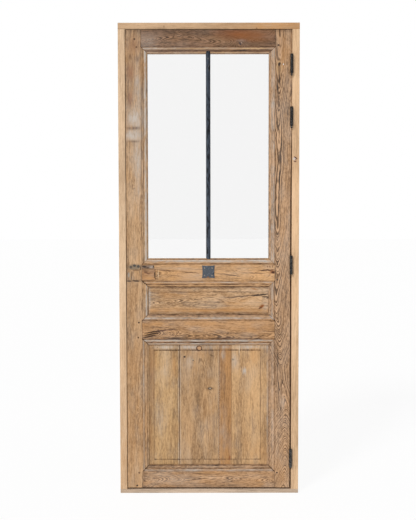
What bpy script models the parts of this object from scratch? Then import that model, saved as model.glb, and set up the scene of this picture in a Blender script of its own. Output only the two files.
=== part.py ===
"""A glazed oak door leaf hung in a plain oak frame.

The leaf is old: two stiles and four rails with a moulding worked on their inner edges, one pane of glass
behind an iron bar, a small panel, a tall panel of four boards, pegged joints, and the patches that fill the
place of a lock. The frame is new, and four lift-off hinges carry the leaf on it.

X runs across the door with the hinges at +X, -Y is the front, and Z is the height above the sill's underside.
"""
import math

import bmesh
import bpy
from mathutils import Matrix

# Frame, in metres
FRAME_WIDTH = 0.890
FRAME_HEIGHT = 2.330
FRAME_DEPTH = 0.065
HEAD_HEIGHT = 0.031
SILL_HEIGHT = 0.020
LATCH_JAMB_WIDTH = 0.034
HINGE_JAMB_WIDTH = 0.036
STOP_WIDTH = 0.013

# Clearances round and between the pieces
LATCH_GAP = 0.0025
HINGE_GAP = 0.007
HEAD_GAP = 0.003
FLOOR_GAP = 0.007
STOP_GAP = 0.001
LEAF_SETBACK = 0.003
FIT = 0.0003
OPEN_MITRE = 0.0016

# Leaf: its members, and the openings between them
LEAF_THICKNESS = 0.036
STILE_WIDTH = 0.1065
BOTTOM_RAIL_HEIGHT = 0.1135
LOWER_OPENING_HEIGHT = 0.605
LOCK_RAIL_HEIGHT = 0.1535
SMALL_OPENING_HEIGHT = 0.136
MIDDLE_RAIL_HEIGHT = 0.1425
TOP_RAIL_HEIGHT = 0.1125

# Moulding, from the flat of the member in to the sight edge
MOULDING_WIDTH = 0.031
QUIRK_WIDTH = 0.0015
QUIRK_DEPTH = 0.0025
BEAD_WIDTH = 0.008
BEAD_RISE = 0.0026
HOLLOW_WIDTH = 0.007
HOLLOW_DEPTH = 0.0022
INNER_BEAD_WIDTH = 0.008
INNER_BEAD_RISE = 0.0018
MOULDING_FALL = 0.0085

# Joints of the leaf
GROOVE_SETBACK = 0.012
GROOVE_WIDTH = 0.012
GROOVE_DEPTH = 0.010
TENON_THICKNESS = 0.011
TENON_LENGTH = 0.055
TENON_OVERHANG = 0.012
PEG_RADIUS = 0.0045
PEG_LENGTH = 0.027
PEG_PROUD = 0.0004

# Panels
TONGUE_CLEARANCE = 0.002
FIELD_RISE = 0.0025
FIELD_STEP = 0.0015
SIDE_MARGIN = 0.036
END_MARGIN = 0.028
SMALL_SIDE_MARGIN = 0.032
SMALL_END_MARGIN = 0.026
FIRST_BOARD_WIDTH = 0.1535
SECOND_BOARD_WIDTH = 0.1985
THIRD_BOARD_WIDTH = 0.0615

# Glass, the beads that hold it, and the iron bar in front
REBATE_WIDTH = 0.0115
GLASS_THICKNESS = 0.004
GLASS_EDGE_CLEARANCE = 0.002
BEAD_CHAMFER = 0.004
BAR_WIDTH = 0.0226
BAR_TOP_LAP = 0.010
BAR_BOTTOM_LAP = 0.003

# Iron plate on the middle rail
PLATE_SIZE = 0.063
PLATE_THICKNESS = 0.0025
PLATE_BOW = 0.0022
PLATE_RISE = 0.005
NAIL_INSET = 0.013
NAIL_HEAD_RADIUS = 0.0036
NAIL_HEAD_HEIGHT = 0.0016
NAIL_SHANK_RADIUS = 0.0014
NAIL_LENGTH = 0.018

# Patches where the lock was
PATCH_DEPTH = 0.008
PATCH_SUNK = 0.0005
STILE_PATCH_WIDTH = 0.051
STILE_PATCH_HEIGHT = 0.053
STILE_PATCH_RISE = 0.004
STILE_PATCH_MARGIN = 0.003
RAIL_PATCH_WIDTH = 0.067
RAIL_PATCH_HEIGHT = 0.056
RAIL_PATCH_RISE = 0.003
SLIVER_WIDTH = 0.061
SLIVER_HEIGHT = 0.0155
SLIVER_SPACE = 0.0025
CHIP_HEIGHT = 0.068
CHIP_WIDTH = 0.009
CHIP_DEPTH = 0.004
CHIP_RISE = 0.050

# Hinges, measured from the ends of the leaf to the middle of the barrel
TOP_HINGE_DROP = 0.165
SECOND_HINGE_DROP = 0.421
THIRD_HINGE_RISE = 1.118
BOTTOM_HINGE_RISE = 0.151
HINGE_HEIGHT = 0.094
KNUCKLE_RADIUS = 0.0076
KNUCKLE_CHAMFER = 0.0012
KNUCKLE_GAP = 0.0005
KNUCKLE_STANDOFF = 0.001
PIN_RADIUS = 0.0038
PIN_CLEARANCE = 0.0003
PIN_REACH = 0.034
HINGE_PLATE_THICKNESS = 0.0025
HINGE_PLATE_LET_IN = 0.030
TIP_RADIUS = 0.0048
TIP_HEIGHT = 0.0125

# How finely round forms are faceted, and how far a cutter runs past what it cuts
ROUND_SIDES = 24
SMALL_ROUND_SIDES = 12
ARC_STEPS = 5
OVERRUN = 0.005

# Places worked out from the sizes
FRAME_FRONT = -FRAME_DEPTH / 2
FRAME_BACK = FRAME_DEPTH / 2
LEAF_FRONT = FRAME_FRONT + LEAF_SETBACK
LEAF_BACK = LEAF_FRONT + LEAF_THICKNESS
STOP_FRONT = LEAF_BACK + STOP_GAP
LATCH_JAMB_FACE = -FRAME_WIDTH / 2 + LATCH_JAMB_WIDTH
HINGE_JAMB_FACE = FRAME_WIDTH / 2 - HINGE_JAMB_WIDTH
HEAD_UNDERSIDE = FRAME_HEIGHT - HEAD_HEIGHT
LEAF_LEFT = LATCH_JAMB_FACE + LATCH_GAP
LEAF_RIGHT = HINGE_JAMB_FACE - HINGE_GAP
LEAF_MIDDLE = (LEAF_LEFT + LEAF_RIGHT) / 2
LEAF_LOW = SILL_HEIGHT + FLOOR_GAP
LEAF_HIGH = HEAD_UNDERSIDE - HEAD_GAP
STILE_FLAT = STILE_WIDTH - MOULDING_WIDTH
SHOULDER_LEFT = LEAF_LEFT + STILE_FLAT
SHOULDER_RIGHT = LEAF_RIGHT - STILE_FLAT
SIGHT_LEFT = LEAF_LEFT + STILE_WIDTH
SIGHT_RIGHT = LEAF_RIGHT - STILE_WIDTH
LOWER_OPENING_LOW = LEAF_LOW + BOTTOM_RAIL_HEIGHT
LOWER_OPENING_HIGH = LOWER_OPENING_LOW + LOWER_OPENING_HEIGHT
SMALL_OPENING_LOW = LOWER_OPENING_HIGH + LOCK_RAIL_HEIGHT
SMALL_OPENING_HIGH = SMALL_OPENING_LOW + SMALL_OPENING_HEIGHT
GLASS_OPENING_LOW = SMALL_OPENING_HIGH + MIDDLE_RAIL_HEIGHT
GLASS_OPENING_HIGH = LEAF_HIGH - TOP_RAIL_HEIGHT
TONGUE_REACH = GROOVE_DEPTH - TONGUE_CLEARANCE
HINGE_AXIS_X = (LEAF_RIGHT + HINGE_JAMB_FACE) / 2
HINGE_AXIS_Y = FRAME_FRONT - KNUCKLE_STANDOFF - KNUCKLE_RADIUS
BAR_RADIUS = BAR_WIDTH / 2
BAR_BACK = LEAF_FRONT + GROOVE_SETBACK - FIT
GLASS_FRONT = LEAF_FRONT + GROOVE_SETBACK + FIT
GLASS_BACK = GLASS_FRONT + GLASS_THICKNESS
MIDDLE_RAIL_FLAT_LOW = SMALL_OPENING_HIGH + MOULDING_WIDTH
MIDDLE_RAIL_FLAT_HIGH = GLASS_OPENING_LOW - MOULDING_WIDTH
PLATE_MIDDLE_Z = (MIDDLE_RAIL_FLAT_LOW + MIDDLE_RAIL_FLAT_HIGH) / 2 + PLATE_RISE

OPENINGS = (
    (LOWER_OPENING_LOW, LOWER_OPENING_HIGH),
    (SMALL_OPENING_LOW, SMALL_OPENING_HIGH),
    (GLASS_OPENING_LOW, GLASS_OPENING_HIGH),
)

# Each peg: name, stile, the rail's lower flat line, and the peg's distance in from the shoulder and above it
LOCK_RAIL_FLAT_LOW = LOWER_OPENING_HIGH + MOULDING_WIDTH
TOP_RAIL_FLAT_LOW = GLASS_OPENING_HIGH + MOULDING_WIDTH
PEGS = (
    ("peg_top_latch_outer", "latch", TOP_RAIL_FLAT_LOW, 0.031, 0.037),
    ("peg_top_latch_inner", "latch", TOP_RAIL_FLAT_LOW, 0.021, -0.002),
    ("peg_top_hinge", "hinge", TOP_RAIL_FLAT_LOW, 0.015, 0.007),
    ("peg_middle_hinge_high", "hinge", MIDDLE_RAIL_FLAT_LOW, 0.012, 0.083),
    ("peg_middle_hinge_low", "hinge", MIDDLE_RAIL_FLAT_LOW, 0.012, 0.005),
    ("peg_lock_latch_high", "latch", LOCK_RAIL_FLAT_LOW, 0.0165, 0.082),
    ("peg_lock_latch_low", "latch", LOCK_RAIL_FLAT_LOW, 0.019, 0.007),
    ("peg_bottom_latch_high", "latch", LEAF_LOW, 0.0185, 0.075),
    ("peg_bottom_latch_low", "latch", LEAF_LOW, 0.0285, 0.010),
    ("peg_bottom_hinge", "hinge", LEAF_LOW, 0.0125, 0.075),
)

# Each hinge: its name, the height of the middle of its barrel, and whether its pin still ends in a tip
HINGES = (
    ("hinge_1", LEAF_HIGH - TOP_HINGE_DROP, True),
    ("hinge_2", LEAF_HIGH - SECOND_HINGE_DROP, True),
    ("hinge_3", LEAF_LOW + THIRD_HINGE_RISE, False),
    ("hinge_4", LEAF_LOW + BOTTOM_HINGE_RISE, False),
)

# How an outline is turned before it is drawn out along X, Y or Z
TURNS = {
    "x": (0.0, -math.pi / 2, 0.0),
    "y": (math.pi / 2, 0.0, 0.0),
    "z": (0.0, 0.0, 0.0),
}


def clear_scene():
    """Empty the file, and make one collection for the door and one for its cutters."""
    for item in list(bpy.data.objects):
        bpy.data.objects.remove(item, do_unlink=True)
    collections = {}
    for title in ("door", "cutters"):
        collections[title] = bpy.data.collections.new(title)
        bpy.context.scene.collection.children.link(collections[title])
    return collections


COLLECTIONS = clear_scene()


def make_material(name, colour, roughness, metallic=0.0, alpha=1.0):
    """A plain finish for the solids of one kind."""
    material = bpy.data.materials.new(name)
    material.use_nodes = True
    shader = material.node_tree.nodes["Principled BSDF"]
    shader.inputs["Base Color"].default_value = (*colour, 1.0)
    shader.inputs["Roughness"].default_value = roughness
    shader.inputs["Metallic"].default_value = metallic
    shader.inputs["Alpha"].default_value = alpha
    return material


NEW_OAK = make_material("new_oak", (0.66, 0.47, 0.28), 0.6)
SILL_OAK = make_material("sill_oak", (0.55, 0.42, 0.31), 0.6)
OLD_OAK = make_material("old_oak", (0.42, 0.28, 0.16), 0.7)
BOARD_OAK = make_material("board_oak", (0.45, 0.29, 0.17), 0.7)
BROWN_OAK = make_material("brown_oak", (0.38, 0.22, 0.11), 0.7)
PATCH_OAK = make_material("patch_oak", (0.35, 0.19, 0.09), 0.65)
PEG_OAK = make_material("peg_oak", (0.12, 0.08, 0.05), 0.8)
IRON = make_material("forged_iron", (0.09, 0.10, 0.12), 0.45, metallic=0.9)
HINGE_BLACK = make_material("black_hinge", (0.03, 0.03, 0.03), 0.4, metallic=0.6)
GLASS = make_material("clear_glass", (0.95, 0.97, 0.97), 0.02, alpha=0.25)


def make_pivot():
    """The leaf hangs from this empty, which stands on the axis of the hinges."""
    pivot = bpy.data.objects.new("leaf_pivot", None)
    pivot.location = (HINGE_AXIS_X, HINGE_AXIS_Y, 0.0)
    COLLECTIONS["door"].objects.link(pivot)
    return pivot


LEAF = make_pivot()
FRAME = None


def add_object(name, mesh, place, owner, material=None, turn=(0.0, 0.0, 0.0)):
    """Put a mesh in the door at a place in the door's own frame, under the leaf's pivot if it swings."""
    item = bpy.data.objects.new(name, mesh)
    item.rotation_euler = turn
    item.location = place
    if owner is not None:
        item.parent = owner
        item.location = [here - there for here, there in zip(place, owner.location)]
    if material is not None:
        mesh.materials.append(material)
    COLLECTIONS["door"].objects.link(item)
    return item


def block(name, x, y, z, owner, material=None):
    """A rectangular block between the low and high value given for each axis."""
    shape = bmesh.new()
    size = [high - low for low, high in (x, y, z)]
    bmesh.ops.create_cube(shape, size=1.0, matrix=Matrix.Diagonal((*size, 1.0)))
    mesh = bpy.data.meshes.new(name)
    shape.to_mesh(mesh)
    shape.free()
    middle = [(low + high) / 2 for low, high in (x, y, z)]
    return add_object(name, mesh, middle, owner, material)


def outline_solid(name, points, axis, span, owner, material=None):
    """A flat outline drawn out along one axis. Points are (x, y) for z, (z, y) for x, and (x, z) for y."""
    curve = bpy.data.curves.new(name, "CURVE")
    curve.dimensions = "2D"
    curve.fill_mode = "BOTH"
    curve.extrude = (span[1] - span[0]) / 2
    spline = curve.splines.new("POLY")
    spline.points.add(len(points) - 1)
    for point, (across, up) in zip(spline.points, points):
        point.co = (across, up, 0.0, 1.0)
    spline.use_cyclic_u = True
    drawn = bpy.data.objects.new(name + "_outline", curve)
    COLLECTIONS["cutters"].objects.link(drawn)
    evaluated = drawn.evaluated_get(bpy.context.evaluated_depsgraph_get())
    mesh = bpy.data.meshes.new_from_object(evaluated)
    mesh.name = name
    bpy.data.objects.remove(drawn, do_unlink=True)
    shape = bmesh.new()
    shape.from_mesh(mesh)
    bmesh.ops.remove_doubles(shape, verts=shape.verts, dist=1e-6)
    bmesh.ops.recalc_face_normals(shape, faces=shape.faces)
    shape.to_mesh(mesh)
    shape.free()
    place = [0.0, 0.0, 0.0]
    place["xyz".index(axis)] = (span[0] + span[1]) / 2
    return add_object(name, mesh, place, owner, material, TURNS[axis])


def turned(name, profile, place, owner, material=None, sides=ROUND_SIDES, facing="up"):
    """A profile of (radius, height), listed from its top down its outer side, turned round the height."""
    shape = bmesh.new()
    corners = [shape.verts.new((radius, 0.0, height)) for radius, height in profile]
    for upper, lower in zip(corners, corners[1:]):
        shape.edges.new((upper, lower))
    mesh = bpy.data.meshes.new(name)
    shape.to_mesh(mesh)
    shape.free()
    turn = TURNS["y"] if facing == "front" else TURNS["z"]
    item = add_object(name, mesh, place, owner, material, turn)
    screw = item.modifiers.new("turn", "SCREW")
    screw.axis = "Z"
    screw.angle = math.tau
    screw.steps = sides
    screw.render_steps = sides
    screw.use_merge_vertices = True
    screw.merge_threshold = 1e-5
    screw.use_smooth_shade = True
    return item


def combine(target, tool, operation="DIFFERENCE"):
    """Cut a tool out of a piece, or join it on with UNION, and keep the tool with the cutters."""
    boolean = target.modifiers.new(tool.name, "BOOLEAN")
    boolean.operation = operation
    boolean.solver = "EXACT"
    boolean.object = tool
    tool.hide_render = True
    tool.display_type = "WIRE"
    COLLECTIONS["door"].objects.unlink(tool)
    COLLECTIONS["cutters"].objects.link(tool)


def bowed(start, end, rise):
    """Points from start to end that stand proud of the straight line between them by rise at the middle."""
    points = []
    for step in range(1, ARC_STEPS + 1):
        share = step / ARC_STEPS
        across = start[0] + (end[0] - start[0]) * share
        depth = start[1] + (end[1] - start[1]) * share - rise * 4 * share * (1 - share)
        points.append((across, depth))
    return points


def moulding_waste():
    """What the plane takes off an edge: (distance in from the flat, depth below the face)."""
    bead_start = (QUIRK_WIDTH, QUIRK_DEPTH)
    bead_end = (bead_start[0] + BEAD_WIDTH, MOULDING_FALL * 0.35)
    hollow_end = (bead_end[0] + HOLLOW_WIDTH, MOULDING_FALL * 0.6)
    inner_end = (hollow_end[0] + INNER_BEAD_WIDTH, MOULDING_FALL * 0.75)
    points = [(0.0, -OVERRUN), (0.0, QUIRK_DEPTH), bead_start]
    points += bowed(bead_start, bead_end, BEAD_RISE)
    points += bowed(bead_end, hollow_end, -HOLLOW_DEPTH)
    points += bowed(hollow_end, inner_end, INNER_BEAD_RISE)
    fall = (MOULDING_FALL - inner_end[1]) / (MOULDING_WIDTH - inner_end[0])
    beyond = MOULDING_WIDTH + OVERRUN
    points += [(beyond, MOULDING_FALL + fall * OVERRUN), (beyond, -OVERRUN)]
    return points


def groove_waste():
    """The groove that a panel's tongue stands in."""
    inner = MOULDING_WIDTH - GROOVE_DEPTH
    outer = MOULDING_WIDTH + OVERRUN
    front = GROOVE_SETBACK
    back = GROOVE_SETBACK + GROOVE_WIDTH
    return [(inner, front), (outer, front), (outer, back), (inner, back)]


def rebate_waste():
    """The rebate for the glass, which is open at the back of the leaf."""
    inner = MOULDING_WIDTH - REBATE_WIDTH
    outer = MOULDING_WIDTH + OVERRUN
    front = GROOVE_SETBACK
    back = LEAF_THICKNESS + OVERRUN
    return [(inner, front), (outer, front), (outer, back), (inner, back)]


def plough(target, name, waste, axis, flat_line, towards, span):
    """Run a section along an edge of a leaf member. towards is the sign that leads from the flat inwards."""
    points = [(flat_line + towards * inward, LEAF_FRONT + depth) for inward, depth in waste]
    combine(target, outline_solid(name, points, axis, span, LEAF))


def stile_outline(outer, towards):
    """A stile from the front: full width at each opening, mitred back to its flat where a rail comes in."""
    flat = outer + towards * STILE_FLAT
    full = outer + towards * STILE_WIDTH
    points = [(outer, LEAF_LOW), (flat, LEAF_LOW)]
    for low, high in OPENINGS:
        points += [(flat, low - MOULDING_WIDTH), (full, low), (full, high), (flat, high + MOULDING_WIDTH)]
    points += [(flat, LEAF_HIGH), (outer, LEAF_HIGH)]
    return points


def rail_outline(low, high, gaps):
    """A rail from the front. gaps holds the mitre gap of each moulded corner, by (side, edge)."""
    left = SHOULDER_LEFT + FIT
    right = SHOULDER_RIGHT - FIT
    points = []
    for side, edge in (("latch", "low"), ("hinge", "low"), ("hinge", "high"), ("latch", "high")):
        shoulder, inward = (left, 1) if side == "latch" else (right, -1)
        level, upward = (low, 1) if edge == "low" else (high, -1)
        gap = gaps.get((side, edge))
        if gap is None:
            corner = [(shoulder, level)]
        else:
            at_shoulder = (shoulder, level + upward * (MOULDING_WIDTH + gap - FIT))
            at_sight = (shoulder + inward * (MOULDING_WIDTH + gap - FIT), level)
            corner = [at_shoulder, at_sight]
        if (side, edge) in (("hinge", "low"), ("latch", "high")):
            corner.reverse()
        points += corner
    return points


def hinge_recess(target, name, height_range, edge_x, into, front, owner):
    """The seat that a hinge plate is let into, open to the gap between leaf and jamb and to the front."""
    far = edge_x + into * (HINGE_PLATE_THICKNESS + FIT)
    near = edge_x - into * OVERRUN
    back = FRAME_FRONT + HINGE_PLATE_LET_IN + FIT
    low, high = height_range
    tool = block(name, sorted((near, far)), (front - OVERRUN, back), (low - FIT, high + FIT), owner)
    combine(target, tool)


def peg_place(side, inward, rise, flat_low):
    """The place of a peg's outer end, from its distance outside the shoulder and above the flat line."""
    if side == "latch":
        across = SHOULDER_LEFT - inward
    else:
        across = SHOULDER_RIGHT + inward
    return across, LEAF_FRONT - PEG_PROUD, flat_low + rise


def peg_solid(name, side, flat_low, inward, rise, clearance, material=None):
    """A round peg driven through stile and tenon, or with a clearance, the hole bored for it."""
    across, front, height = peg_place(side, inward, rise, flat_low)
    start = front if material else front - OVERRUN
    length = front + PEG_LENGTH + clearance - start
    shape = bmesh.new()
    bmesh.ops.create_cone(
        shape,
        cap_ends=True,
        segments=SMALL_ROUND_SIDES,
        radius1=PEG_RADIUS + clearance,
        radius2=PEG_RADIUS + clearance,
        depth=length,
    )
    mesh = bpy.data.meshes.new(name)
    shape.to_mesh(mesh)
    shape.free()
    return add_object(name, mesh, (across, start + length / 2, height), LEAF, material, TURNS["y"])


def bore_pegs(target, side, low, high):
    """Bore a stile or a tenon for every peg between two heights."""
    for name, peg_side, flat_low, inward, rise in PEGS:
        if peg_side in side and low < flat_low + rise < high:
            hole = peg_solid(target.name + "_" + name, peg_side, flat_low, inward, rise, FIT)
            combine(target, hole)


def make_frame():
    """Sill, two rebated jambs and a rebated head that lies over them."""
    half = FRAME_WIDTH / 2
    depth = (FRAME_FRONT, FRAME_BACK)
    block("frame_sill", (-half, half), depth, (0.0, SILL_HEIGHT), FRAME, SILL_OAK)

    stop_low = HEAD_UNDERSIDE - STOP_WIDTH
    head_section = [
        (HEAD_UNDERSIDE, FRAME_FRONT),
        (FRAME_HEIGHT, FRAME_FRONT),
        (FRAME_HEIGHT, FRAME_BACK),
        (stop_low, FRAME_BACK),
        (stop_low, STOP_FRONT),
        (HEAD_UNDERSIDE, STOP_FRONT),
    ]
    outline_solid("frame_head", head_section, "x", (-half, half), FRAME, NEW_OAK)

    jambs = (
        ("frame_jamb_latch", -half, LATCH_JAMB_FACE, 1),
        ("frame_jamb_hinge", half, HINGE_JAMB_FACE, -1),
    )
    for name, outer, face, inward in jambs:
        stop_edge = face + inward * STOP_WIDTH
        section = [
            (outer, FRAME_FRONT),
            (face, FRAME_FRONT),
            (face, STOP_FRONT),
            (stop_edge, STOP_FRONT),
            (stop_edge, FRAME_BACK),
            (outer, FRAME_BACK),
        ]
        span = (SILL_HEIGHT + FIT, HEAD_UNDERSIDE - FIT)
        jamb = outline_solid(name, section, "z", span, FRAME, NEW_OAK)
        across = sorted((outer - inward * OVERRUN, stop_edge + inward * OVERRUN))
        notch = block(
            name + "_notch",
            across,
            (STOP_FRONT - FIT, FRAME_BACK + OVERRUN),
            (stop_low - FIT, HEAD_UNDERSIDE + OVERRUN),
            FRAME,
        )
        combine(jamb, notch)
        if name == "frame_jamb_hinge":
            for title, middle, _ in HINGES:
                plate = (middle - HINGE_HEIGHT / 2, middle - KNUCKLE_GAP / 2)
                hinge_recess(jamb, title + "_jamb_seat", plate, HINGE_JAMB_FACE, 1, FRAME_FRONT, FRAME)


def make_stile(name, side, outer, towards):
    """One stile, with its moulding, panel grooves, glass rebate, mortises and peg holes."""
    shoulder = outer + towards * STILE_FLAT
    stile = outline_solid(name, stile_outline(outer, towards), "y", (LEAF_FRONT, LEAF_BACK), LEAF, OLD_OAK)
    whole = (LEAF_LOW - OVERRUN, LEAF_HIGH + OVERRUN)
    plough(stile, name + "_moulding", moulding_waste(), "z", shoulder, towards, whole)
    corner = GROOVE_DEPTH + OVERRUN
    panels = (LOWER_OPENING_LOW - corner, SMALL_OPENING_HIGH + corner)
    plough(stile, name + "_groove", groove_waste(), "z", shoulder, towards, panels)
    corner = REBATE_WIDTH + FIT
    glass = (GLASS_OPENING_LOW - corner, GLASS_OPENING_HIGH + corner)
    plough(stile, name + "_rebate", rebate_waste(), "z", shoulder, towards, glass)

    for title, low, high in tenon_heights():
        end = shoulder - towards * (TENON_LENGTH + FIT)
        mouth = outer + towards * (STILE_WIDTH + OVERRUN)
        tool = block(
            title + "_" + name,
            sorted((end, mouth)),
            (tenon_front() - FIT, tenon_front() + TENON_THICKNESS + FIT),
            (low - FIT, high + FIT),
            LEAF,
        )
        combine(stile, tool)
    bore_pegs(stile, (side,), LEAF_LOW, LEAF_HIGH)
    return stile


def tenon_front():
    """The front cheek of the tenons, which stand in the middle of the panel groove."""
    return LEAF_FRONT + GROOVE_SETBACK + (GROOVE_WIDTH - TENON_THICKNESS) / 2


def tenon_heights():
    """The lower and upper edge of each rail's tenons: a little past the flat, inside the moulding."""
    past = TENON_OVERHANG - MOULDING_WIDTH
    return (
        ("tenon_bottom", LEAF_LOW + TENON_OVERHANG / 2, LOWER_OPENING_LOW + past),
        ("tenon_lock", LOWER_OPENING_HIGH - past, SMALL_OPENING_LOW + past),
        ("tenon_middle", SMALL_OPENING_HIGH - past, GLASS_OPENING_LOW + past),
        ("tenon_top", GLASS_OPENING_HIGH - past, LEAF_HIGH - TENON_OVERHANG),
    )


def make_rail(name, low, high, gaps, tenon, edges):
    """One rail. edges gives the waste taken out behind the moulding, by the edge it is on."""
    span = (LEAF_FRONT, LEAF_BACK)
    rail = outline_solid(name, rail_outline(low, high, gaps), "y", span, LEAF, OLD_OAK)
    _, tenon_low, tenon_high = tenon
    bar = block(
        name + "_tenons",
        (SHOULDER_LEFT - TENON_LENGTH, SHOULDER_RIGHT + TENON_LENGTH),
        (tenon_front(), tenon_front() + TENON_THICKNESS),
        (tenon_low, tenon_high),
        LEAF,
    )
    combine(rail, bar, "UNION")
    run = (SHOULDER_LEFT + FIT / 2, SHOULDER_RIGHT - FIT / 2)
    for edge, waste in edges.items():
        if edge == "low":
            flat_line = low + MOULDING_WIDTH
            towards = -1
        else:
            flat_line = high - MOULDING_WIDTH
            towards = 1
        plough(rail, name + "_moulding_" + edge, moulding_waste(), "x", flat_line, towards, run)
        plough(rail, name + "_" + edge, waste, "x", flat_line, towards, run)
    bore_pegs(rail, ("latch", "hinge"), low - OVERRUN, high + OVERRUN)
    return rail


def make_rails():
    """The four rails, from the floor up, with the mitres that have opened with age."""
    bottom, lock, middle, top = tenon_heights()
    tight = FIT * math.sqrt(2)
    groove = groove_waste()
    rebate = rebate_waste()
    rails = {}
    rails["bottom"] = make_rail(
        "rail_bottom",
        LEAF_LOW,
        LOWER_OPENING_LOW,
        {("latch", "high"): OPEN_MITRE, ("hinge", "high"): OPEN_MITRE},
        bottom,
        {"high": groove},
    )
    rails["lock"] = make_rail(
        "rail_lock",
        LOWER_OPENING_HIGH,
        SMALL_OPENING_LOW,
        {
            ("latch", "low"): OPEN_MITRE,
            ("hinge", "low"): tight,
            ("hinge", "high"): OPEN_MITRE,
            ("latch", "high"): tight,
        },
        lock,
        {"low": groove, "high": groove},
    )
    rails["middle"] = make_rail(
        "rail_middle",
        SMALL_OPENING_HIGH,
        GLASS_OPENING_LOW,
        {
            ("latch", "low"): OPEN_MITRE,
            ("hinge", "low"): tight,
            ("hinge", "high"): tight,
            ("latch", "high"): tight,
        },
        middle,
        {"low": groove, "high": rebate},
    )
    rails["top"] = make_rail(
        "rail_top",
        GLASS_OPENING_HIGH,
        LEAF_HIGH,
        {("latch", "low"): tight, ("hinge", "low"): tight},
        top,
        {"low": rebate},
    )
    return rails


def fielded_board(name, x, z, margins, material):
    """A board whose margins slope from the field down into the grooves. margins are left, right, low, high."""
    steepest = FIELD_RISE / min(margin for margin in margins if margin)
    taper = steepest * TONGUE_REACH
    front = LEAF_FRONT + GROOVE_SETBACK + FIT + taper
    back = LEAF_FRONT + GROOVE_SETBACK + GROOVE_WIDTH - FIT
    board = block(name, x, (front, back), z, LEAF, material)
    left, right, low, high = (margin + TONGUE_REACH if margin else 0.0 for margin in margins)
    shape = bmesh.new()
    shape.from_mesh(board.data)
    face = min(shape.faces, key=lambda side: side.calc_center_median().y)
    for rise, inset in ((FIELD_RISE + taper, 1.0), (FIELD_STEP, 0.0)):
        drawn = bmesh.ops.extrude_face_region(shape, geom=[face])
        bmesh.ops.delete(shape, geom=[face], context="FACES_ONLY")
        face = next(item for item in drawn["geom"] if isinstance(item, bmesh.types.BMFace))
        middle = face.calc_center_median()
        for corner in face.verts:
            corner.co.y -= rise
            corner.co.x += inset * (left if corner.co.x < middle.x else -right)
            corner.co.z += inset * (low if corner.co.z < middle.z else -high)
    bmesh.ops.recalc_face_normals(shape, faces=shape.faces)
    shape.to_mesh(board.data)
    shape.free()
    return board


def make_panels():
    """The small panel, and the tall one of four boards set edge to edge."""
    left = SIGHT_LEFT - TONGUE_REACH
    right = SIGHT_RIGHT + TONGUE_REACH
    small = (SMALL_OPENING_LOW - TONGUE_REACH, SMALL_OPENING_HIGH + TONGUE_REACH)
    margins = (SMALL_SIDE_MARGIN, SMALL_SIDE_MARGIN, SMALL_END_MARGIN, SMALL_END_MARGIN)
    fielded_board("panel_small", (left, right), small, margins, BOARD_OAK)

    tall = (LOWER_OPENING_LOW - TONGUE_REACH, LOWER_OPENING_HIGH + TONGUE_REACH)
    first = SIGHT_LEFT + FIRST_BOARD_WIDTH
    second = first + SECOND_BOARD_WIDTH
    third = second + THIRD_BOARD_WIDTH
    joints = (left, first, second, third, right)
    materials = (BOARD_OAK, BOARD_OAK, BROWN_OAK, BOARD_OAK)
    for number, material in enumerate(materials, start=1):
        start = joints[number - 1] + (FIT / 2 if number > 1 else 0.0)
        stop = joints[number] - (FIT / 2 if number < len(materials) else 0.0)
        left_margin = SIDE_MARGIN if number == 1 else 0.0
        right_margin = SIDE_MARGIN if number == len(materials) else 0.0
        margins = (left_margin, right_margin, END_MARGIN, END_MARGIN)
        fielded_board(f"panel_lower_board_{number}", (start, stop), tall, margins, material)


def mitre_ends(item, long_edge, towards, spread):
    """Cut both ends of a strip at 45 degrees: each point stands back by its distance from the long edge."""
    for corner in item.data.vertices:
        back = towards * (corner.co.x - long_edge)
        corner.co.z = math.copysign(spread / 2 - back, corner.co.z)


def make_glazing():
    """The pane in its rebate, and the four chamfered beads that hold it from behind."""
    reach = REBATE_WIDTH - GLASS_EDGE_CLEARANCE
    across = (SIGHT_LEFT - reach, SIGHT_RIGHT + reach)
    upright = (GLASS_OPENING_LOW - reach, GLASS_OPENING_HIGH + reach)
    block("glass_pane", across, (GLASS_FRONT, GLASS_BACK), upright, LEAF, GLASS)

    outer = REBATE_WIDTH - FIT
    left = SIGHT_LEFT - outer
    right = SIGHT_RIGHT + outer
    low = GLASS_OPENING_LOW - outer
    high = GLASS_OPENING_HIGH + outer
    beads = (
        ("glazing_bead_latch", "z", left, 1, (low, high)),
        ("glazing_bead_hinge", "z", right, -1, (low, high)),
        ("glazing_bead_bottom", "x", low, 1, (left, right)),
        ("glazing_bead_top", "x", high, -1, (left, right)),
    )
    for name, axis, edge, towards, span in beads:
        sight = edge + towards * outer
        chamfered = sight - towards * BEAD_CHAMFER
        section = [
            (edge, GLASS_BACK + FIT),
            (sight, GLASS_BACK + FIT),
            (sight, LEAF_BACK - BEAD_CHAMFER),
            (chamfered, LEAF_BACK),
            (edge, LEAF_BACK),
        ]
        bead = outline_solid(name, section, axis, span, LEAF, OLD_OAK)
        mitre_ends(bead, edge, towards, span[1] - span[0] - 2 * FIT)


def bar_profile(radius, low, high):
    """Half the outline of the round bar: a domed top, a straight side and a flat foot."""
    points = []
    for step in range(ARC_STEPS + 1):
        angle = math.pi / 2 * (1 - step / ARC_STEPS)
        points.append((radius * math.cos(angle), high - radius + radius * math.sin(angle)))
    points[0] = (0.0, high)
    points += [(radius, low), (0.0, low)]
    return points


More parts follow.
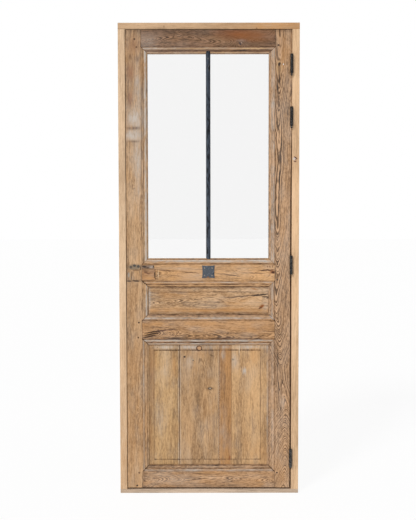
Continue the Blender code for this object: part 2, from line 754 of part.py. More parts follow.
def make_bar(rails):
    """The half-round iron bar in front of the glass, housed in the mouldings above and below it."""
    low = GLASS_OPENING_LOW - BAR_BOTTOM_LAP
    high = GLASS_OPENING_HIGH + BAR_TOP_LAP
    place = (LEAF_MIDDLE, BAR_BACK, 0.0)
    bar = turned("glazing_bar", bar_profile(BAR_RADIUS, low, high), place, LEAF, IRON)
    behind = block(
        "bar_back_half",
        (LEAF_MIDDLE - BAR_WIDTH, LEAF_MIDDLE + BAR_WIDTH),
        (BAR_BACK, BAR_BACK + BAR_WIDTH),
        (low - OVERRUN, high + OVERRUN),
        LEAF,
    )
    combine(bar, behind)
    profile = bar_profile(BAR_RADIUS + FIT, low - FIT, high + FIT)
    for name in ("middle", "top"):
        combine(rails[name], turned("bar_housing_" + name, profile, place, LEAF))


def plate_outline(middle):
    """A square whose four sides draw in to the middle, which leaves its corners flared."""
    half = PLATE_SIZE / 2
    points = []
    for side in range(4):
        turn = side * math.pi / 2
        for step in range(ARC_STEPS + 1):
            share = 2 * step / (ARC_STEPS + 1) - 1
            out = half - PLATE_BOW * (1 - share * share)
            along = half * share
            across = out * math.cos(turn) - along * math.sin(turn)
            up = out * math.sin(turn) + along * math.cos(turn)
            points.append((middle[0] + across, middle[1] + up))
    return points


def nail_profile(clearance):
    """A nail from the top of its domed head down to its shank's end."""
    head = NAIL_HEAD_RADIUS
    shank = NAIL_SHANK_RADIUS + clearance
    seat = PLATE_THICKNESS + 2 * FIT
    return [
        (0.0, seat + NAIL_HEAD_HEIGHT),
        (head * 0.6, seat + NAIL_HEAD_HEIGHT * 0.75),
        (head, seat + NAIL_HEAD_HEIGHT * 0.25),
        (head, seat),
        (shank, seat),
        (shank, -NAIL_LENGTH - clearance),
        (0.0, -NAIL_LENGTH - clearance),
    ]


def shank_hole():
    """The hole that a nail's shank stands in, from in front of the plate to past the nail's end."""
    radius = NAIL_SHANK_RADIUS + FIT
    return [
        (0.0, PLATE_THICKNESS + OVERRUN),
        (radius, PLATE_THICKNESS + OVERRUN),
        (radius, -NAIL_LENGTH - FIT),
        (0.0, -NAIL_LENGTH - FIT),
    ]


def make_plate(rail):
    """The iron plate under the bar, and its four nails."""
    back = LEAF_FRONT - FIT
    span = (back - PLATE_THICKNESS, back)
    plate = outline_solid("iron_plate", plate_outline((LEAF_MIDDLE, PLATE_MIDDLE_Z)), "y", span, LEAF, IRON)
    reach = PLATE_SIZE / 2 - NAIL_INSET
    corners = ((-1, 1), (1, 1), (-1, -1), (1, -1))
    for number, (side, level) in enumerate(corners, start=1):
        place = (LEAF_MIDDLE + side * reach, LEAF_FRONT, PLATE_MIDDLE_Z + level * reach)
        turned(f"plate_nail_{number}", nail_profile(0.0), place, LEAF, IRON, SMALL_ROUND_SIDES, "front")
        for piece, suffix in ((plate, "plate"), (rail, "rail")):
            name = f"nail_hole_{number}_{suffix}"
            hole = turned(name, shank_hole(), place, LEAF, None, SMALL_ROUND_SIDES, "front")
            combine(piece, hole)


def let_in(target, name, x, z, material, open_side):
    """A patch let into a face. open_side runs its seat out past that end of the piece."""
    front = LEAF_FRONT + PATCH_SUNK
    back = LEAF_FRONT + PATCH_DEPTH
    block(name, x, (front, back), z, LEAF, material)
    start = x[0] - (OVERRUN if open_side else FIT)
    seat = block(
        name + "_seat",
        (start, x[1] + FIT),
        (LEAF_FRONT - OVERRUN, back + FIT),
        (z[0] - FIT, z[1] + FIT),
        LEAF,
    )
    combine(target, seat)


def make_repairs(stile, rail):
    """Patches where a lock was let in, and the edge that its use has worn away."""
    low = MIDDLE_RAIL_FLAT_LOW + STILE_PATCH_RISE
    right = SHOULDER_LEFT - STILE_PATCH_MARGIN
    across = (right - STILE_PATCH_WIDTH, right)
    let_in(stile, "patch_stile", across, (low, low + STILE_PATCH_HEIGHT), PATCH_OAK, False)

    left = SHOULDER_LEFT + FIT
    low = MIDDLE_RAIL_FLAT_LOW + RAIL_PATCH_RISE
    high = low + RAIL_PATCH_HEIGHT
    let_in(rail, "patch_rail", (left, left + RAIL_PATCH_WIDTH), (low, high), PATCH_OAK, True)
    low = high + SLIVER_SPACE
    sliver = (low, low + SLIVER_HEIGHT)
    let_in(rail, "patch_rail_sliver", (left, left + SLIVER_WIDTH), sliver, PEG_OAK, True)

    middle = MIDDLE_RAIL_FLAT_LOW + CHIP_RISE
    chip = [
        (LEAF_LEFT - OVERRUN, middle - CHIP_HEIGHT / 2),
        (LEAF_LEFT, middle - CHIP_HEIGHT / 2),
        (LEAF_LEFT + CHIP_WIDTH * 0.7, middle - CHIP_HEIGHT * 0.35),
        (LEAF_LEFT + CHIP_WIDTH, middle),
        (LEAF_LEFT + CHIP_WIDTH * 0.6, middle + CHIP_HEIGHT * 0.3),
        (LEAF_LEFT, middle + CHIP_HEIGHT / 2),
        (LEAF_LEFT - OVERRUN, middle + CHIP_HEIGHT / 2),
    ]
    span = (LEAF_FRONT - OVERRUN, LEAF_FRONT + CHIP_DEPTH)
    combine(stile, outline_solid("worn_edge", chip, "y", span, LEAF))


def make_pegs():
    """The pegs that lock the tenons, driven from the front."""
    for name, side, flat_low, inward, rise in PEGS:
        peg_solid(name, side, flat_low, inward, rise, 0.0, PEG_OAK)


def hinge_plate(name, low, high, x, owner):
    """A hinge's flat plate, from inside the wall of its knuckle back along the gap."""
    root = HINGE_AXIS_Y + PIN_RADIUS + PIN_CLEARANCE
    back = FRAME_FRONT + HINGE_PLATE_LET_IN
    return block(name, sorted(x), (root, back), (low, high), owner)


def pin_tip(foot):
    """The rounded end of a pin below its barrel."""
    neck = TIP_RADIUS * 0.75
    ball = TIP_HEIGHT - TIP_RADIUS
    return [
        (neck, foot),
        (neck, foot - ball * 0.4),
        (TIP_RADIUS, foot - ball * 0.7),
        (TIP_RADIUS, foot - ball),
        (TIP_RADIUS * 0.7, foot - ball - TIP_RADIUS * 0.7),
        (0.0, foot - TIP_HEIGHT),
    ]


def make_hinge(title, middle, has_tip, stile):
    """A lift-off hinge: the jamb's half carries the pin, and the leaf's half drops over it."""
    low = -HINGE_HEIGHT / 2
    high = HINGE_HEIGHT / 2
    rim = KNUCKLE_RADIUS - KNUCKLE_CHAMFER
    seam = KNUCKLE_GAP / 2
    pin_top = PIN_REACH
    bore = PIN_RADIUS + PIN_CLEARANCE
    place = (HINGE_AXIS_X, HINGE_AXIS_Y, middle)

    lower = [
        (0.0, pin_top),
        (PIN_RADIUS * 0.7, pin_top),
        (PIN_RADIUS, pin_top - PIN_RADIUS * 0.3),
        (PIN_RADIUS, -seam),
        (rim, -seam),
        (KNUCKLE_RADIUS, -seam - KNUCKLE_CHAMFER),
        (KNUCKLE_RADIUS, low + KNUCKLE_CHAMFER),
        (rim, low),
    ]
    lower += pin_tip(low) if has_tip else [(0.0, low)]
    jamb_half = turned(title + "_jamb_half", lower, place, FRAME, HINGE_BLACK)
    x = (HINGE_JAMB_FACE, HINGE_JAMB_FACE + HINGE_PLATE_THICKNESS)
    plate = hinge_plate(title + "_jamb_plate", middle + low, middle - seam, x, FRAME)
    combine(jamb_half, plate, "UNION")

    upper = [
        (0.0, high),
        (rim, high),
        (KNUCKLE_RADIUS, high - KNUCKLE_CHAMFER),
        (KNUCKLE_RADIUS, seam + KNUCKLE_CHAMFER),
        (rim, seam),
        (bore, seam),
        (bore, pin_top + PIN_CLEARANCE),
        (0.0, pin_top + PIN_CLEARANCE),
    ]
    leaf_half = turned(title + "_leaf_half", upper, place, LEAF, HINGE_BLACK)
    x = (LEAF_RIGHT - HINGE_PLATE_THICKNESS, LEAF_RIGHT)
    plate = hinge_plate(title + "_leaf_plate", middle + seam, middle + high, x, LEAF)
    combine(leaf_half, plate, "UNION")
    seat = (middle + seam, middle + high)
    hinge_recess(stile, title + "_leaf_seat", seat, LEAF_RIGHT, -1, LEAF_FRONT, LEAF)


def shade_round_pieces():
    """Give the turned pieces a smooth surface with their real edges left sharp."""
    for item in COLLECTIONS["door"].objects:
        if item.type == "MESH" and item.name.startswith("peg_"):
            item.data.shade_smooth()
            item.data.set_sharp_from_angle(angle=math.radians(40))


def make_door():
    """Frame first, then the leaf from its stiles inwards, then what is fixed to it."""
    make_frame()
    latch_stile = make_stile("stile_latch", "latch", LEAF_LEFT, 1)
    hinge_stile = make_stile("stile_hinge", "hinge", LEAF_RIGHT, -1)
    rails = make_rails()
    make_panels()
    make_glazing()
    make_bar(rails)
    make_plate(rails["middle"])
    make_repairs(latch_stile, rails["middle"])
    make_pegs()
    for title, middle, has_tip in HINGES:
        make_hinge(title, middle, has_tip, hinge_stile)
    shade_round_pieces()


make_door()
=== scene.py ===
# %% [markdown]
# # A glazed oak door in its frame
#
# The leaf is old oak: weathered, pegged, with a moulding worked on the solid. The frame round it is new and
# pale. The solids give the true sizes and the joint of the hinges. This lesson lays the fine surface over
# them: the moulding's beads, the mitres that opened, the fielded panels, the iron bar, and the finishes.

# %% Load the fixed frame
import math

import bmesh
import bpy
import numpy as np
from mathutils import Matrix, Vector


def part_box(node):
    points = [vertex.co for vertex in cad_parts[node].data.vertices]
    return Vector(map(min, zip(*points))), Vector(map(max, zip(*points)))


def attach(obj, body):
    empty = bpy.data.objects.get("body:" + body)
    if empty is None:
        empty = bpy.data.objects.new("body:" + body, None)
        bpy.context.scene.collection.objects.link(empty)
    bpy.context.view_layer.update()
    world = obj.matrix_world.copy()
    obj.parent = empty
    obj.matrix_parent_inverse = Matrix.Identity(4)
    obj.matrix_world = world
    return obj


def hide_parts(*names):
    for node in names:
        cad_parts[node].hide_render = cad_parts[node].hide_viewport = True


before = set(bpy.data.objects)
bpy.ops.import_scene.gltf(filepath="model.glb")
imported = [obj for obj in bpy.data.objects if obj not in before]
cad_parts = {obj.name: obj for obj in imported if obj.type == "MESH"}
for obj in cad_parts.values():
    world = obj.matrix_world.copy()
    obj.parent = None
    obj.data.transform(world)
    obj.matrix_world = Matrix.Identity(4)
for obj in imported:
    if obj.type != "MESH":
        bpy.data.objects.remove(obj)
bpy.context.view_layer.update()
MM = 0.001

# %% [markdown]
# ## The camera
#
# The door stands straight in front of the lens. Its four corners in the picture give the distance, the height
# and the slight tilt down, because a tilt draws the sides of a tall door in towards its foot.

# %% Place the camera
CAMERA_PLACE = (-0.0051, -4.0325, 1.358)
CAMERA_TILT_DOWN = math.radians(2.694)
CAMERA_ROLL = math.radians(-0.076)
CAMERA_LENS = 56.02

camera = bpy.data.objects.new("camera", bpy.data.cameras.new("camera"))
camera.data.lens = CAMERA_LENS
camera.data.sensor_width = 36.0
bpy.context.scene.collection.objects.link(camera)
camera.matrix_world = (
    Matrix.Translation(CAMERA_PLACE)
    @ Matrix.Rotation(math.pi / 2 - CAMERA_TILT_DOWN, 4, "X")
    @ Matrix.Rotation(CAMERA_ROLL, 4, "Z")
)
bpy.context.scene.camera = camera
bpy.context.scene.view_settings.view_transform = "Standard"
print("camera at", CAMERA_PLACE)

# %% [markdown]
# ## Two small helpers for every finish
#
# Colours are written as they look on a screen and turned to linear light by one function. One function adds a
# node, with its own choices and whatever comes into its sockets: a plain value, or another node's output.


# %% Colour and node helpers
def linear(shade, alpha=1.0):
    """Screen colour to linear light: below 0.04045 a share of 12.92, above it a power of 2.4."""
    parts = np.array([int(shade[place : place + 2], 16) for place in (0, 2, 4)]) / 255
    light = np.where(parts <= 0.04045, parts / 12.92, ((parts + 0.055) / 1.055) ** 2.4)
    return (*light.tolist(), alpha)


def add(tree, kind, choices=None, inputs=None):
    """Add a node of a kind, set its choices, and give each named input a value or a link."""
    node = tree.nodes.new("ShaderNode" + kind)
    for title, value in (choices or {}).items():
        setattr(node, title, value)
    for socket, value in (inputs or {}).items():
        if isinstance(value, bpy.types.NodeSocket):
            tree.links.new(value, node.inputs[socket])
        else:
            node.inputs[socket].default_value = value
    return node


def new_material(name):
    """A material with its shader, ready for settings."""
    material = bpy.data.materials.new(name)
    material.use_nodes = True
    return material, material.node_tree, material.node_tree.nodes["Principled BSDF"]


# %% [markdown]
# ## Light, floor and air
#
# The picture has a bright, even surround, so the air is white to the lens. A surface gets less light from it
# than the lens does, which leaves room for one soft sun high on the left. A sun lights the top and the foot of
# a tall door alike, where a lamp would fall off. It draws the beads of the moulding and sets the shadow to the
# right of each hinge.

# %% Light the door
AIR_FOR_SURFACES = 0.42
AIR_FOR_GLOSS = 0.12
SUN_STRENGTH = 1.75
SUN_SOFTNESS = math.radians(14.0)
SUN_FROM = (-0.62, -1.0, 0.86)

world = bpy.data.worlds.new("studio_air")
bpy.context.scene.world = world
world.use_nodes = True
rays = add(world.node_tree, "LightPath")
air_strength = 1.0
for ray, other, strength in (
    ("Is Diffuse Ray", None, AIR_FOR_SURFACES),
    ("Is Glossy Ray", "Is Transmission Ray", AIR_FOR_GLOSS),
):
    this_ray = rays.outputs[ray]
    if other:
        choices = {"operation": "SUBTRACT", "use_clamp": True}
        this_ray = add(world.node_tree, "Math", choices, {0: this_ray, 1: rays.outputs[other]}).outputs[0]
    inputs = {0: this_ray, 1: strength - 1.0, 2: air_strength}
    air_strength = add(world.node_tree, "Math", {"operation": "MULTIPLY_ADD"}, inputs).outputs[0]
air = world.node_tree.nodes["Background"]
air.inputs["Color"].default_value = (1.0, 1.0, 1.0, 1.0)
world.node_tree.links.new(air_strength, air.inputs["Strength"])

sun = bpy.data.objects.new("soft_sun", bpy.data.lights.new("soft_sun", "SUN"))
sun.data.energy = SUN_STRENGTH
sun.data.angle = SUN_SOFTNESS
sun.matrix_world = Vector(SUN_FROM).to_track_quat("Z", "Y").to_matrix().to_4x4()
bpy.context.scene.collection.objects.link(sun)

# %% [markdown]
# The floor is one plain sheet. It is grey to the light that falls on it and gives off light of its own, nearly
# as bright as the air behind it. So its far line hardly shows through the glass, and shadows on it stay faint.

# %% Lay the floor
FLOOR_REACH = 60.0
PAPER_GLOW = 0.915
floor_mesh = bpy.data.meshes.new("floor")
floor_corners = [(x * FLOOR_REACH, y * FLOOR_REACH, 0.0) for x, y in ((-1, -1), (1, -1), (1, 1), (-1, 1))]
floor_mesh.from_pydata(floor_corners, [], [(0, 1, 2, 3)])
floor = bpy.data.objects.new("floor", floor_mesh)
bpy.context.scene.collection.objects.link(floor)
paper, _, paper_shader = new_material("white_studio_paper")
paper_shader.inputs["Base Color"].default_value = linear("505050")
paper_shader.inputs["Roughness"].default_value = 0.9
paper_shader.inputs["Emission Color"].default_value = (1.0, 1.0, 1.0, 1.0)
paper_shader.inputs["Emission Strength"].default_value = PAPER_GLOW
floor_mesh.materials.append(paper)
print("sun", SUN_STRENGTH, "air", AIR_FOR_SURFACES, AIR_FOR_GLOSS)

# %% [markdown]
# ## Noise and growth rings as arrays
#
# Everything irregular on the door comes from one smooth noise, worked out for all points of a piece at once.
# It is worked out from the place alone, so a piece looks the same in every render and at every pose.


# %% Noise over whole arrays
MIXERS = (374761393, 668265263, 1442695041, 974634777, 1274126177)


def scatter(cells, seed):
    """A fixed number from 0 to 1 for each whole-number cell: odd multiples, mixed by shifts."""
    mixed = sum(cells[..., axis] * MIXERS[axis] for axis in range(3)) + seed * MIXERS[3]
    mixed = (mixed ^ (mixed >> 13)) * MIXERS[4]
    return ((mixed ^ (mixed >> 16)) & 0xFFFF) / 65535.0


def noise(points, size, seed):
    """Smooth noise from -1 to 1: scatter at the corners of cells of a size, eased by 3t^2 - 2t^3 between."""
    scaled = points / np.asarray(size, dtype=float)
    cell = np.floor(scaled).astype(np.int64)
    share = scaled - cell
    share = share * share * (3 - 2 * share)
    total = np.zeros(points.shape[:-1])
    for corner in np.ndindex(2, 2, 2):
        weight = np.prod(np.where(np.array(corner) == 1, share, 1 - share), axis=-1)
        total += weight * scatter(cell + np.array(corner), seed)
    return total * 2 - 1


def spots(points, places):
    """The sum of soft round spots: amount times exp(-(dx/rx)^2 - (dz/rz)^2) for each (x, z, rx, rz, amount)."""
    total = np.zeros(points.shape[:-1])
    for x, z, wide, high, amount in places:
        across = (points[..., 0] - x) / wide
        up = (points[..., 2] - z) / high
        total += amount * np.exp(-across * across - up * up)
    return total


print("noise at the origin", round(float(noise(np.zeros((1, 3)) + 0.5, 2.0, 1)[0]), 3))

# %% [markdown]
# The figure of the oak is the distance of each point from the heart of the tree. A tree tapers, so that
# distance also grows along the board. That lean gives the pointed arches of a flat-sawn board, and a knot
# pushes them aside. Each point keeps its distance as an attribute, and the finish draws the rings from it.

# %% Growth rings
LEAF_FRONT = -29.5
WANDER = ((110.0, 5.0), (26.0, 1.5))
KNOT_STRETCH, KNOT_PUSH = 2.2, 1.3
PLAIN_SHARE, FIGURE_WIDTH = 0.3, 30.0


def rings_of(points, along, look, seed):
    """The rings as attributes: growth is sqrt(across^2 + deep^2) + lean, in mm from the heart of the tree.

    path holds (place along, place across, depth of the heart behind the face, lean), joined by straight lines,
    and the heart wanders by noise. Each knot (x, z, size) adds its push times size times exp(-r^2). figured
    fades from 1 to the least as exp(-(across / wide)^2).
    """
    path = np.array(look["path"], dtype=float)
    run = points[..., along]
    heart, depth, lean = (np.interp(run, path[:, 0], path[:, column]) for column in (1, 2, 3))
    line = np.stack([run * 0, run * 0, run], axis=-1)
    across = points[..., 2 - along] - heart
    for turn, (size, amount) in enumerate(WANDER):
        across = across - amount * noise(line, size, seed + turn)
    deep = points[..., 1] - LEAF_FRONT - depth
    radius = np.sqrt(across * across + deep * deep) + lean
    figured = np.exp(-((across / look.get("wide", FIGURE_WIDTH)) ** 2))
    for x, z, size in look.get("knots", ()):
        far = ((points[..., 0] - x) / (size if along == 2 else KNOT_STRETCH * size)) ** 2
        far += ((points[..., 2] - z) / (KNOT_STRETCH * size if along == 2 else size)) ** 2
        radius = radius + KNOT_PUSH * size * np.exp(-far)
        figured = np.maximum(figured, np.exp(-far / 3))
    least = look.get("least", PLAIN_SHARE)
    return {"growth": radius, "figured": least + (1 - least) * figured}


# %% [markdown]
# ## From arrays to pieces
#
# A member of the door is one closed ring of section points carried along its length, so the points form a
# grid of rows and ring places. Points that fall together, as they do at the tip of a mitre, are merged. The
# faces are then turned outwards. The arrays are in millimetres, because the door was measured in them.


# %% Build a mesh from a grid
PIECES = {}


def ring_faces(rows, ring):
    """Four-sided faces between each row of a closed ring and the next, and one face over each end."""
    first = np.arange(rows - 1)[:, None] * ring
    here = first + np.arange(ring)
    after = first + (np.arange(ring) + 1) % ring
    sides = np.stack([here, after, after + ring, here + ring], axis=-1).reshape(-1, 4)
    return sides.tolist() + [list(range(ring)), list(range((rows - 1) * ring, rows * ring))]


def make_piece(name, points, faces, material, body, node, attributes=None, sharp=32.0):
    """Put points in mm and their attributes in a mesh, merge what meets, and let it stand for a node."""
    mesh = bpy.data.meshes.new(name)
    mesh.from_pydata((points.reshape(-1, 3) * MM).tolist(), [], faces)
    for title, values in (attributes or {}).items():
        layer = mesh.attributes.new(title, "FLOAT", "POINT")
        layer.data.foreach_set("value", np.ascontiguousarray(values, dtype=np.float32).ravel())
    shape = bmesh.new()
    shape.from_mesh(mesh)
    bmesh.ops.remove_doubles(shape, verts=shape.verts, dist=2e-6)
    bmesh.ops.recalc_face_normals(shape, faces=shape.faces)
    shape.to_mesh(mesh)
    shape.free()
    mesh.shade_smooth()
    mesh.set_sharp_from_angle(angle=math.radians(sharp))
    mesh.materials.append(material)
    piece = bpy.data.objects.new(name, mesh)
    bpy.context.scene.collection.objects.link(piece)
    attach(piece, body)
    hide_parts(*([node] if isinstance(node, str) else node))
    PIECES[name] = len(mesh.polygons)
    return piece


def lines(*groups):
    """All the places of several groups in order, with those closer than 0.02 mm taken once."""
    places = np.sort(np.concatenate([np.atleast_1d(np.asarray(group, dtype=float)) for group in groups]))
    return places[np.concatenate([[True], np.diff(places) > 0.02])]


def span(low, high, step):
    """Even places from low to high, about a step apart."""
    return np.linspace(low, high, max(2, int(round((high - low) / step)) + 1))


# %% [markdown]
# ## Oak
#
# Oak shows three things at this distance: the rings, long streaks along the grain, and a broad drift from
# honey to grey. Fine fibres and open pores are under a millimetre wide, so they are drawn a little coarser
# than life to stay visible. Air and light turn old oak grey where the grain is raised, and dirt stays dark in
# quirks and joints. Three attributes carry that: stain, bleach and warmth. Stain and bleach also carry painted
# light: highlights on the moulding's beads and on the panels' top slopes, and shade in the hollows, under the
# mouldings and in a worn hollow at the latch edge. The alternative, painting a picture of the door, would be
# flat from any other side.


# %% Shades and grains of oak
# The stain colour also paints shade, and the bleached colour also paints highlights, on mouldings and panel
# slopes.
STAIN_AND_SHADE_COLOUR = "5A4030"
BLEACH_AND_HIGHLIGHT_COLOUR = "C0B4A8"
WARM_SHADE = "C4905A"
TONES = ((0.18, (0.28, 0.27, 0.28)), (0.4, (0.65, 0.62, 0.59)), (0.54, (1, 1, 1)), (0.8, (1.35, 1.38, 1.45)))
LOOKS = ("mottle", "streak", "drift", "fibre", "rings", "ring", "pores", "blush")
WILD = dict(zip(LOOKS, (1.0, 0.8, 0.5, 0.4, 3.2, 3.0, 0.4, 0.8)))
DARK = dict(zip(LOOKS, (0.9, 0.9, 0.5, 0.4, 2.2, 2.2, 0.4, 0.6)))
OLD = dict(zip(LOOKS, (0.9, 0.9, 0.6, 0.4, 1.5, 2.6, 0.4, 1.4)))
CALM = dict(zip(LOOKS, (0.55, 0.6, 0.5, 0.55, 0.6, 2.4, 0.4, 0.9)))
BOARD = dict(zip(LOOKS, (0.45, 0.5, 0.6, 0.5, 0.5, 2.4, 0.4, 0.8)))
NEW = dict(zip(LOOKS, (0.12, 0.3, 0.35, 0.2, 0.12, 4.0, 0.2, 0.3)))
GRAINS = {
    "mottle": (6.5, 15.0, 2.0, 7.7),
    "streak": (5.5, 75.0, 3.0, 0.0),
    "drift": (60.0, 420.0, 1.0, 5.1),
    "fibre": (2.2, 60.0, 2.0, 1.3),
    "wobble": (30.0, 60.0, 1.0, 2.2),
    "patchy": (10.0, 45.0, 2.0, 3.9),
    "broad": (38.0, 150.0, 2.0, 6.3),
    "pores": (1.3, 14.0, 0.0, 9.7),
}
SUM = {"operation": "MULTIPLY_ADD"}
print("grains", list(GRAINS))

# %% [markdown]
# A mark is a single thing that catches the eye: a knot, a crack, a nail hole or a worn spot. It is an ellipse
# laid on the face, turned by its lean, with a shade of its own and an edge that is soft or sharp. Noise moves
# its outline a little, as nothing in old wood is a true oval.

# %% Marks on a face
MARK_DEPTH = 40.0


def marked(tree, colour, place, marks):
    """Lay marks over a colour, each (x, z, half width, half height, lean in degrees, edge, shade) on the face.

    The share of a mark falls from 1 to 0 over the outer part that edge gives, and an edge over 1 makes it thin.
    """
    for x, z, wide, high, lean, edge, shade in marks:
        inputs = {
            "Vector": place,
            "Location": (x * MM, LEAF_FRONT * MM, z * MM),
            "Rotation": (0.0, math.radians(lean), 0.0),
            "Scale": (wide * MM, MARK_DEPTH * MM, high * MM),
        }
        away = add(tree, "Mapping", {"vector_type": "TEXTURE"}, inputs)
        far = add(tree, "VectorMath", {"operation": "LENGTH"}, {0: away.outputs[0]}).outputs["Value"]
        share = add(tree, "MapRange", None, {"Value": far, "From Min": 1.0, "From Max": 1.0 - edge})
        inputs = {0: share.outputs[0], 6: colour, 7: linear(shade)}
        colour = add(tree, "Mix", {"data_type": "RGBA"}, inputs).outputs[2]
    return colour


def strayed(tree, place, seed, size, reach):
    """Every place moved by smooth noise with flecks of a size, up to about half a reach each way, in mm."""
    inputs = {"Vector": place, "W": seed, "Scale": 1 / (size * MM), "Detail": 1.0}
    stray = add(tree, "TexNoise", {"noise_dimensions": "4D"}, inputs).outputs["Color"]
    centred = add(tree, "VectorMath", {"operation": "SUBTRACT"}, {0: stray, 1: (0.5, 0.5, 0.5)}).outputs[0]
    moved = {0: centred, 1: (reach * MM, reach * MM, reach * MM), 2: place}
    return add(tree, "VectorMath", {"operation": "MULTIPLY_ADD"}, moved).outputs[0]


# %% [markdown]
# The shader adds the grains to one tone and lets the rings through where they are figured. A ramp turns the
# tone to shades of the body colour. Warmth, grey bleaching and stain follow, the last two with painted
# highlight and painted shade in them, then the pores and the marks.

# %% The tone of oak
BEND_SIZE, BEND_REACH = 140.0, 14.0
RING_WOBBLE = 2.0
PATCHY_SLOPE, PATCHY_DROP = 3.0, -0.5
COOL_BLUSH = -0.6
CLAMPED_SUM = {"operation": "MULTIPLY_ADD", "use_clamp": True}


def grains_of(tree, place, along, seed):
    """The noises of GRAINS along an axis: each has a width across and a length along in mm, detail and seed."""
    bent = strayed(tree, place, seed, BEND_SIZE, BEND_REACH)
    grains = {}
    for title, (across, length, detail, offset) in GRAINS.items():
        scale = [1.0 / (across * MM)] * 3
        scale[along] = 1.0 / (length * MM)
        drawn = add(tree, "Mapping", None, {"Vector": bent, "Scale": scale}).outputs[0]
        inputs = {"Vector": drawn, "W": seed + offset, "Scale": 1.0, "Detail": detail, "Roughness": 0.6}
        grains[title] = add(tree, "TexNoise", {"noise_dimensions": "4D"}, inputs).outputs["Fac"]
    return grains


def tone_of(tree, grains, carried, look):
    """0.5 + sum of amount times (noise - 0.5) over the first four grains, plus the rings where figured."""
    tone = 0.5 - 0.5 * sum(look[title] for title in LOOKS[:4])
    for title in LOOKS[:4]:
        tone = add(tree, "Math", SUM, {0: grains[title], 1: look[title], 2: tone}).outputs[0]
    wobble = add(tree, "Math", SUM, {0: grains["wobble"], 1: RING_WOBBLE, 2: -0.5 * RING_WOBBLE}).outputs[0]
    turns = add(tree, "Math", SUM, {0: carried["growth"], 1: 1 / look["ring"], 2: wobble}).outputs[0]
    inputs = {"W": turns, "Scale": 1.0, "Detail": 2.0}
    rings = add(tree, "TexNoise", {"noise_dimensions": "1D"}, inputs).outputs["Fac"]
    centred = add(tree, "Math", SUM, {0: rings, 1: look["rings"], 2: -0.5 * look["rings"]}).outputs[0]
    return add(tree, "Math", SUM, {0: centred, 1: carried["figured"], 2: tone}).outputs[0]


def weather_and_painted_light(tree, colour, grains, carried, blush):
    """Warm, bleached and stained shares, partly painted light: an attribute times patchy noise, plus a broad
    blush.
    """
    patchy = add(tree, "Math", SUM, {0: grains["patchy"], 1: PATCHY_SLOPE, 2: PATCHY_DROP}).outputs[0]
    for title, shade, blend, amount in (
        ("warmth", WARM_SHADE, "MIX", blush),
        ("bleach", BLEACH_AND_HIGHLIGHT_COLOUR, "MIX", COOL_BLUSH * blush),
        ("stain", STAIN_AND_SHADE_COLOUR, "MULTIPLY", 0.0),
    ):
        own = add(tree, "Math", SUM, {0: grains["broad"], 1: amount, 2: -0.5 * amount}).outputs[0]
        share = add(tree, "Math", CLAMPED_SUM, {0: carried[title], 1: patchy, 2: own}).outputs[0]
        inputs = {0: share, 6: colour, 7: linear(shade)}
        colour = add(tree, "Mix", {"data_type": "RGBA", "blend_type": blend}, inputs).outputs[2]
    return colour


# %% The oak finish
MARK_FLECK, MARK_STRAY = 14.0, 7.0
PORE_FROM, PORE_TO, PORE_SINK = 0.30, 0.22, 1.2
GRAIN_RELIEF, RELIEF_SHARE = 0.7, 0.5
LEAST_ROUGH, MOST_ROUGH = 0.48, 0.76
OAK_IOR, OAK_GLOSS = 1.45, 0.35
# Where the noise of each kind of piece starts, so that no two pieces share a figure.
OAK_SEEDS = {
    "head": 11.0, "sill": 17.0, "jamb": 23.0, "stile": 31.0, "rail": 47.0, "board": 71.0, "patch": 101.0,
    "bead": 131.0, "peg": 141.0,
}


def oak(name, along, body, seed, look=OLD, marks=()):
    """Sawn and planed oak with the grain along an axis, in a body colour. The seed picks its noise."""
    material, tree, shader = new_material(name)
    place = add(tree, "TexCoord").outputs["Object"]
    grains = grains_of(tree, place, along, seed)
    carried = {}
    for title in ("growth", "figured", "warmth", "bleach", "stain"):
        carried[title] = add(tree, "Attribute", {"attribute_name": title}).outputs["Fac"]
    tone = tone_of(tree, grains, carried, look)

    ramp = add(tree, "ValToRGB", None, {"Fac": tone})
    stops = ramp.color_ramp.elements
    for level, _ in TONES[1:3]:
        stops.new(level)
    for stop, (level, factors) in zip(stops, TONES):
        stop.position = level
        stop.color = [*(min(1.0, light * factor) for light, factor in zip(linear(body), factors)), 1.0]
    colour = weather_and_painted_light(tree, ramp.outputs["Color"], grains, carried, look["blush"])

    inputs = {"Value": grains["pores"], "From Min": PORE_FROM, "From Max": PORE_TO, "To Max": look["pores"]}
    open_pores = add(tree, "MapRange", None, inputs).outputs[0]
    inputs = {0: open_pores, 6: colour, 7: linear(STAIN_AND_SHADE_COLOUR)}
    colour = add(tree, "Mix", {"data_type": "RGBA", "blend_type": "MULTIPLY"}, inputs).outputs[2]
    if marks:
        colour = marked(tree, colour, strayed(tree, place, seed, MARK_FLECK, MARK_STRAY), marks)
    tree.links.new(colour, shader.inputs["Base Color"])

    inputs = {"Value": grains["fibre"], "To Min": LEAST_ROUGH, "To Max": MOST_ROUGH}
    tree.links.new(add(tree, "MapRange", None, inputs).outputs[0], shader.inputs["Roughness"])
    height = add(tree, "Math", SUM, {0: open_pores, 1: -PORE_SINK, 2: tone}).outputs[0]
    relief = {"Height": height, "Strength": RELIEF_SHARE, "Distance": GRAIN_RELIEF * MM}
    tree.links.new(add(tree, "Bump", None, relief).outputs["Normal"], shader.inputs["Normal"])
    shader.inputs["IOR"].default_value = OAK_IOR
    shader.inputs["Specular IOR Level"].default_value = OAK_GLOSS
    return material


print("oak is ready, with a relief of", GRAIN_RELIEF, "mm")

# %% [markdown]
# ## The new frame
#
# Head, jambs and sill are planed boards with a stop for the leaf to close on. A planed board is a flat
# section carried along its length, with each arris taken off by a stroke or two of sandpaper. A cube with a
# bevel would do for the shape, but the ring of points also carries the growth rings round the corner, so the
# end grain matches the face.


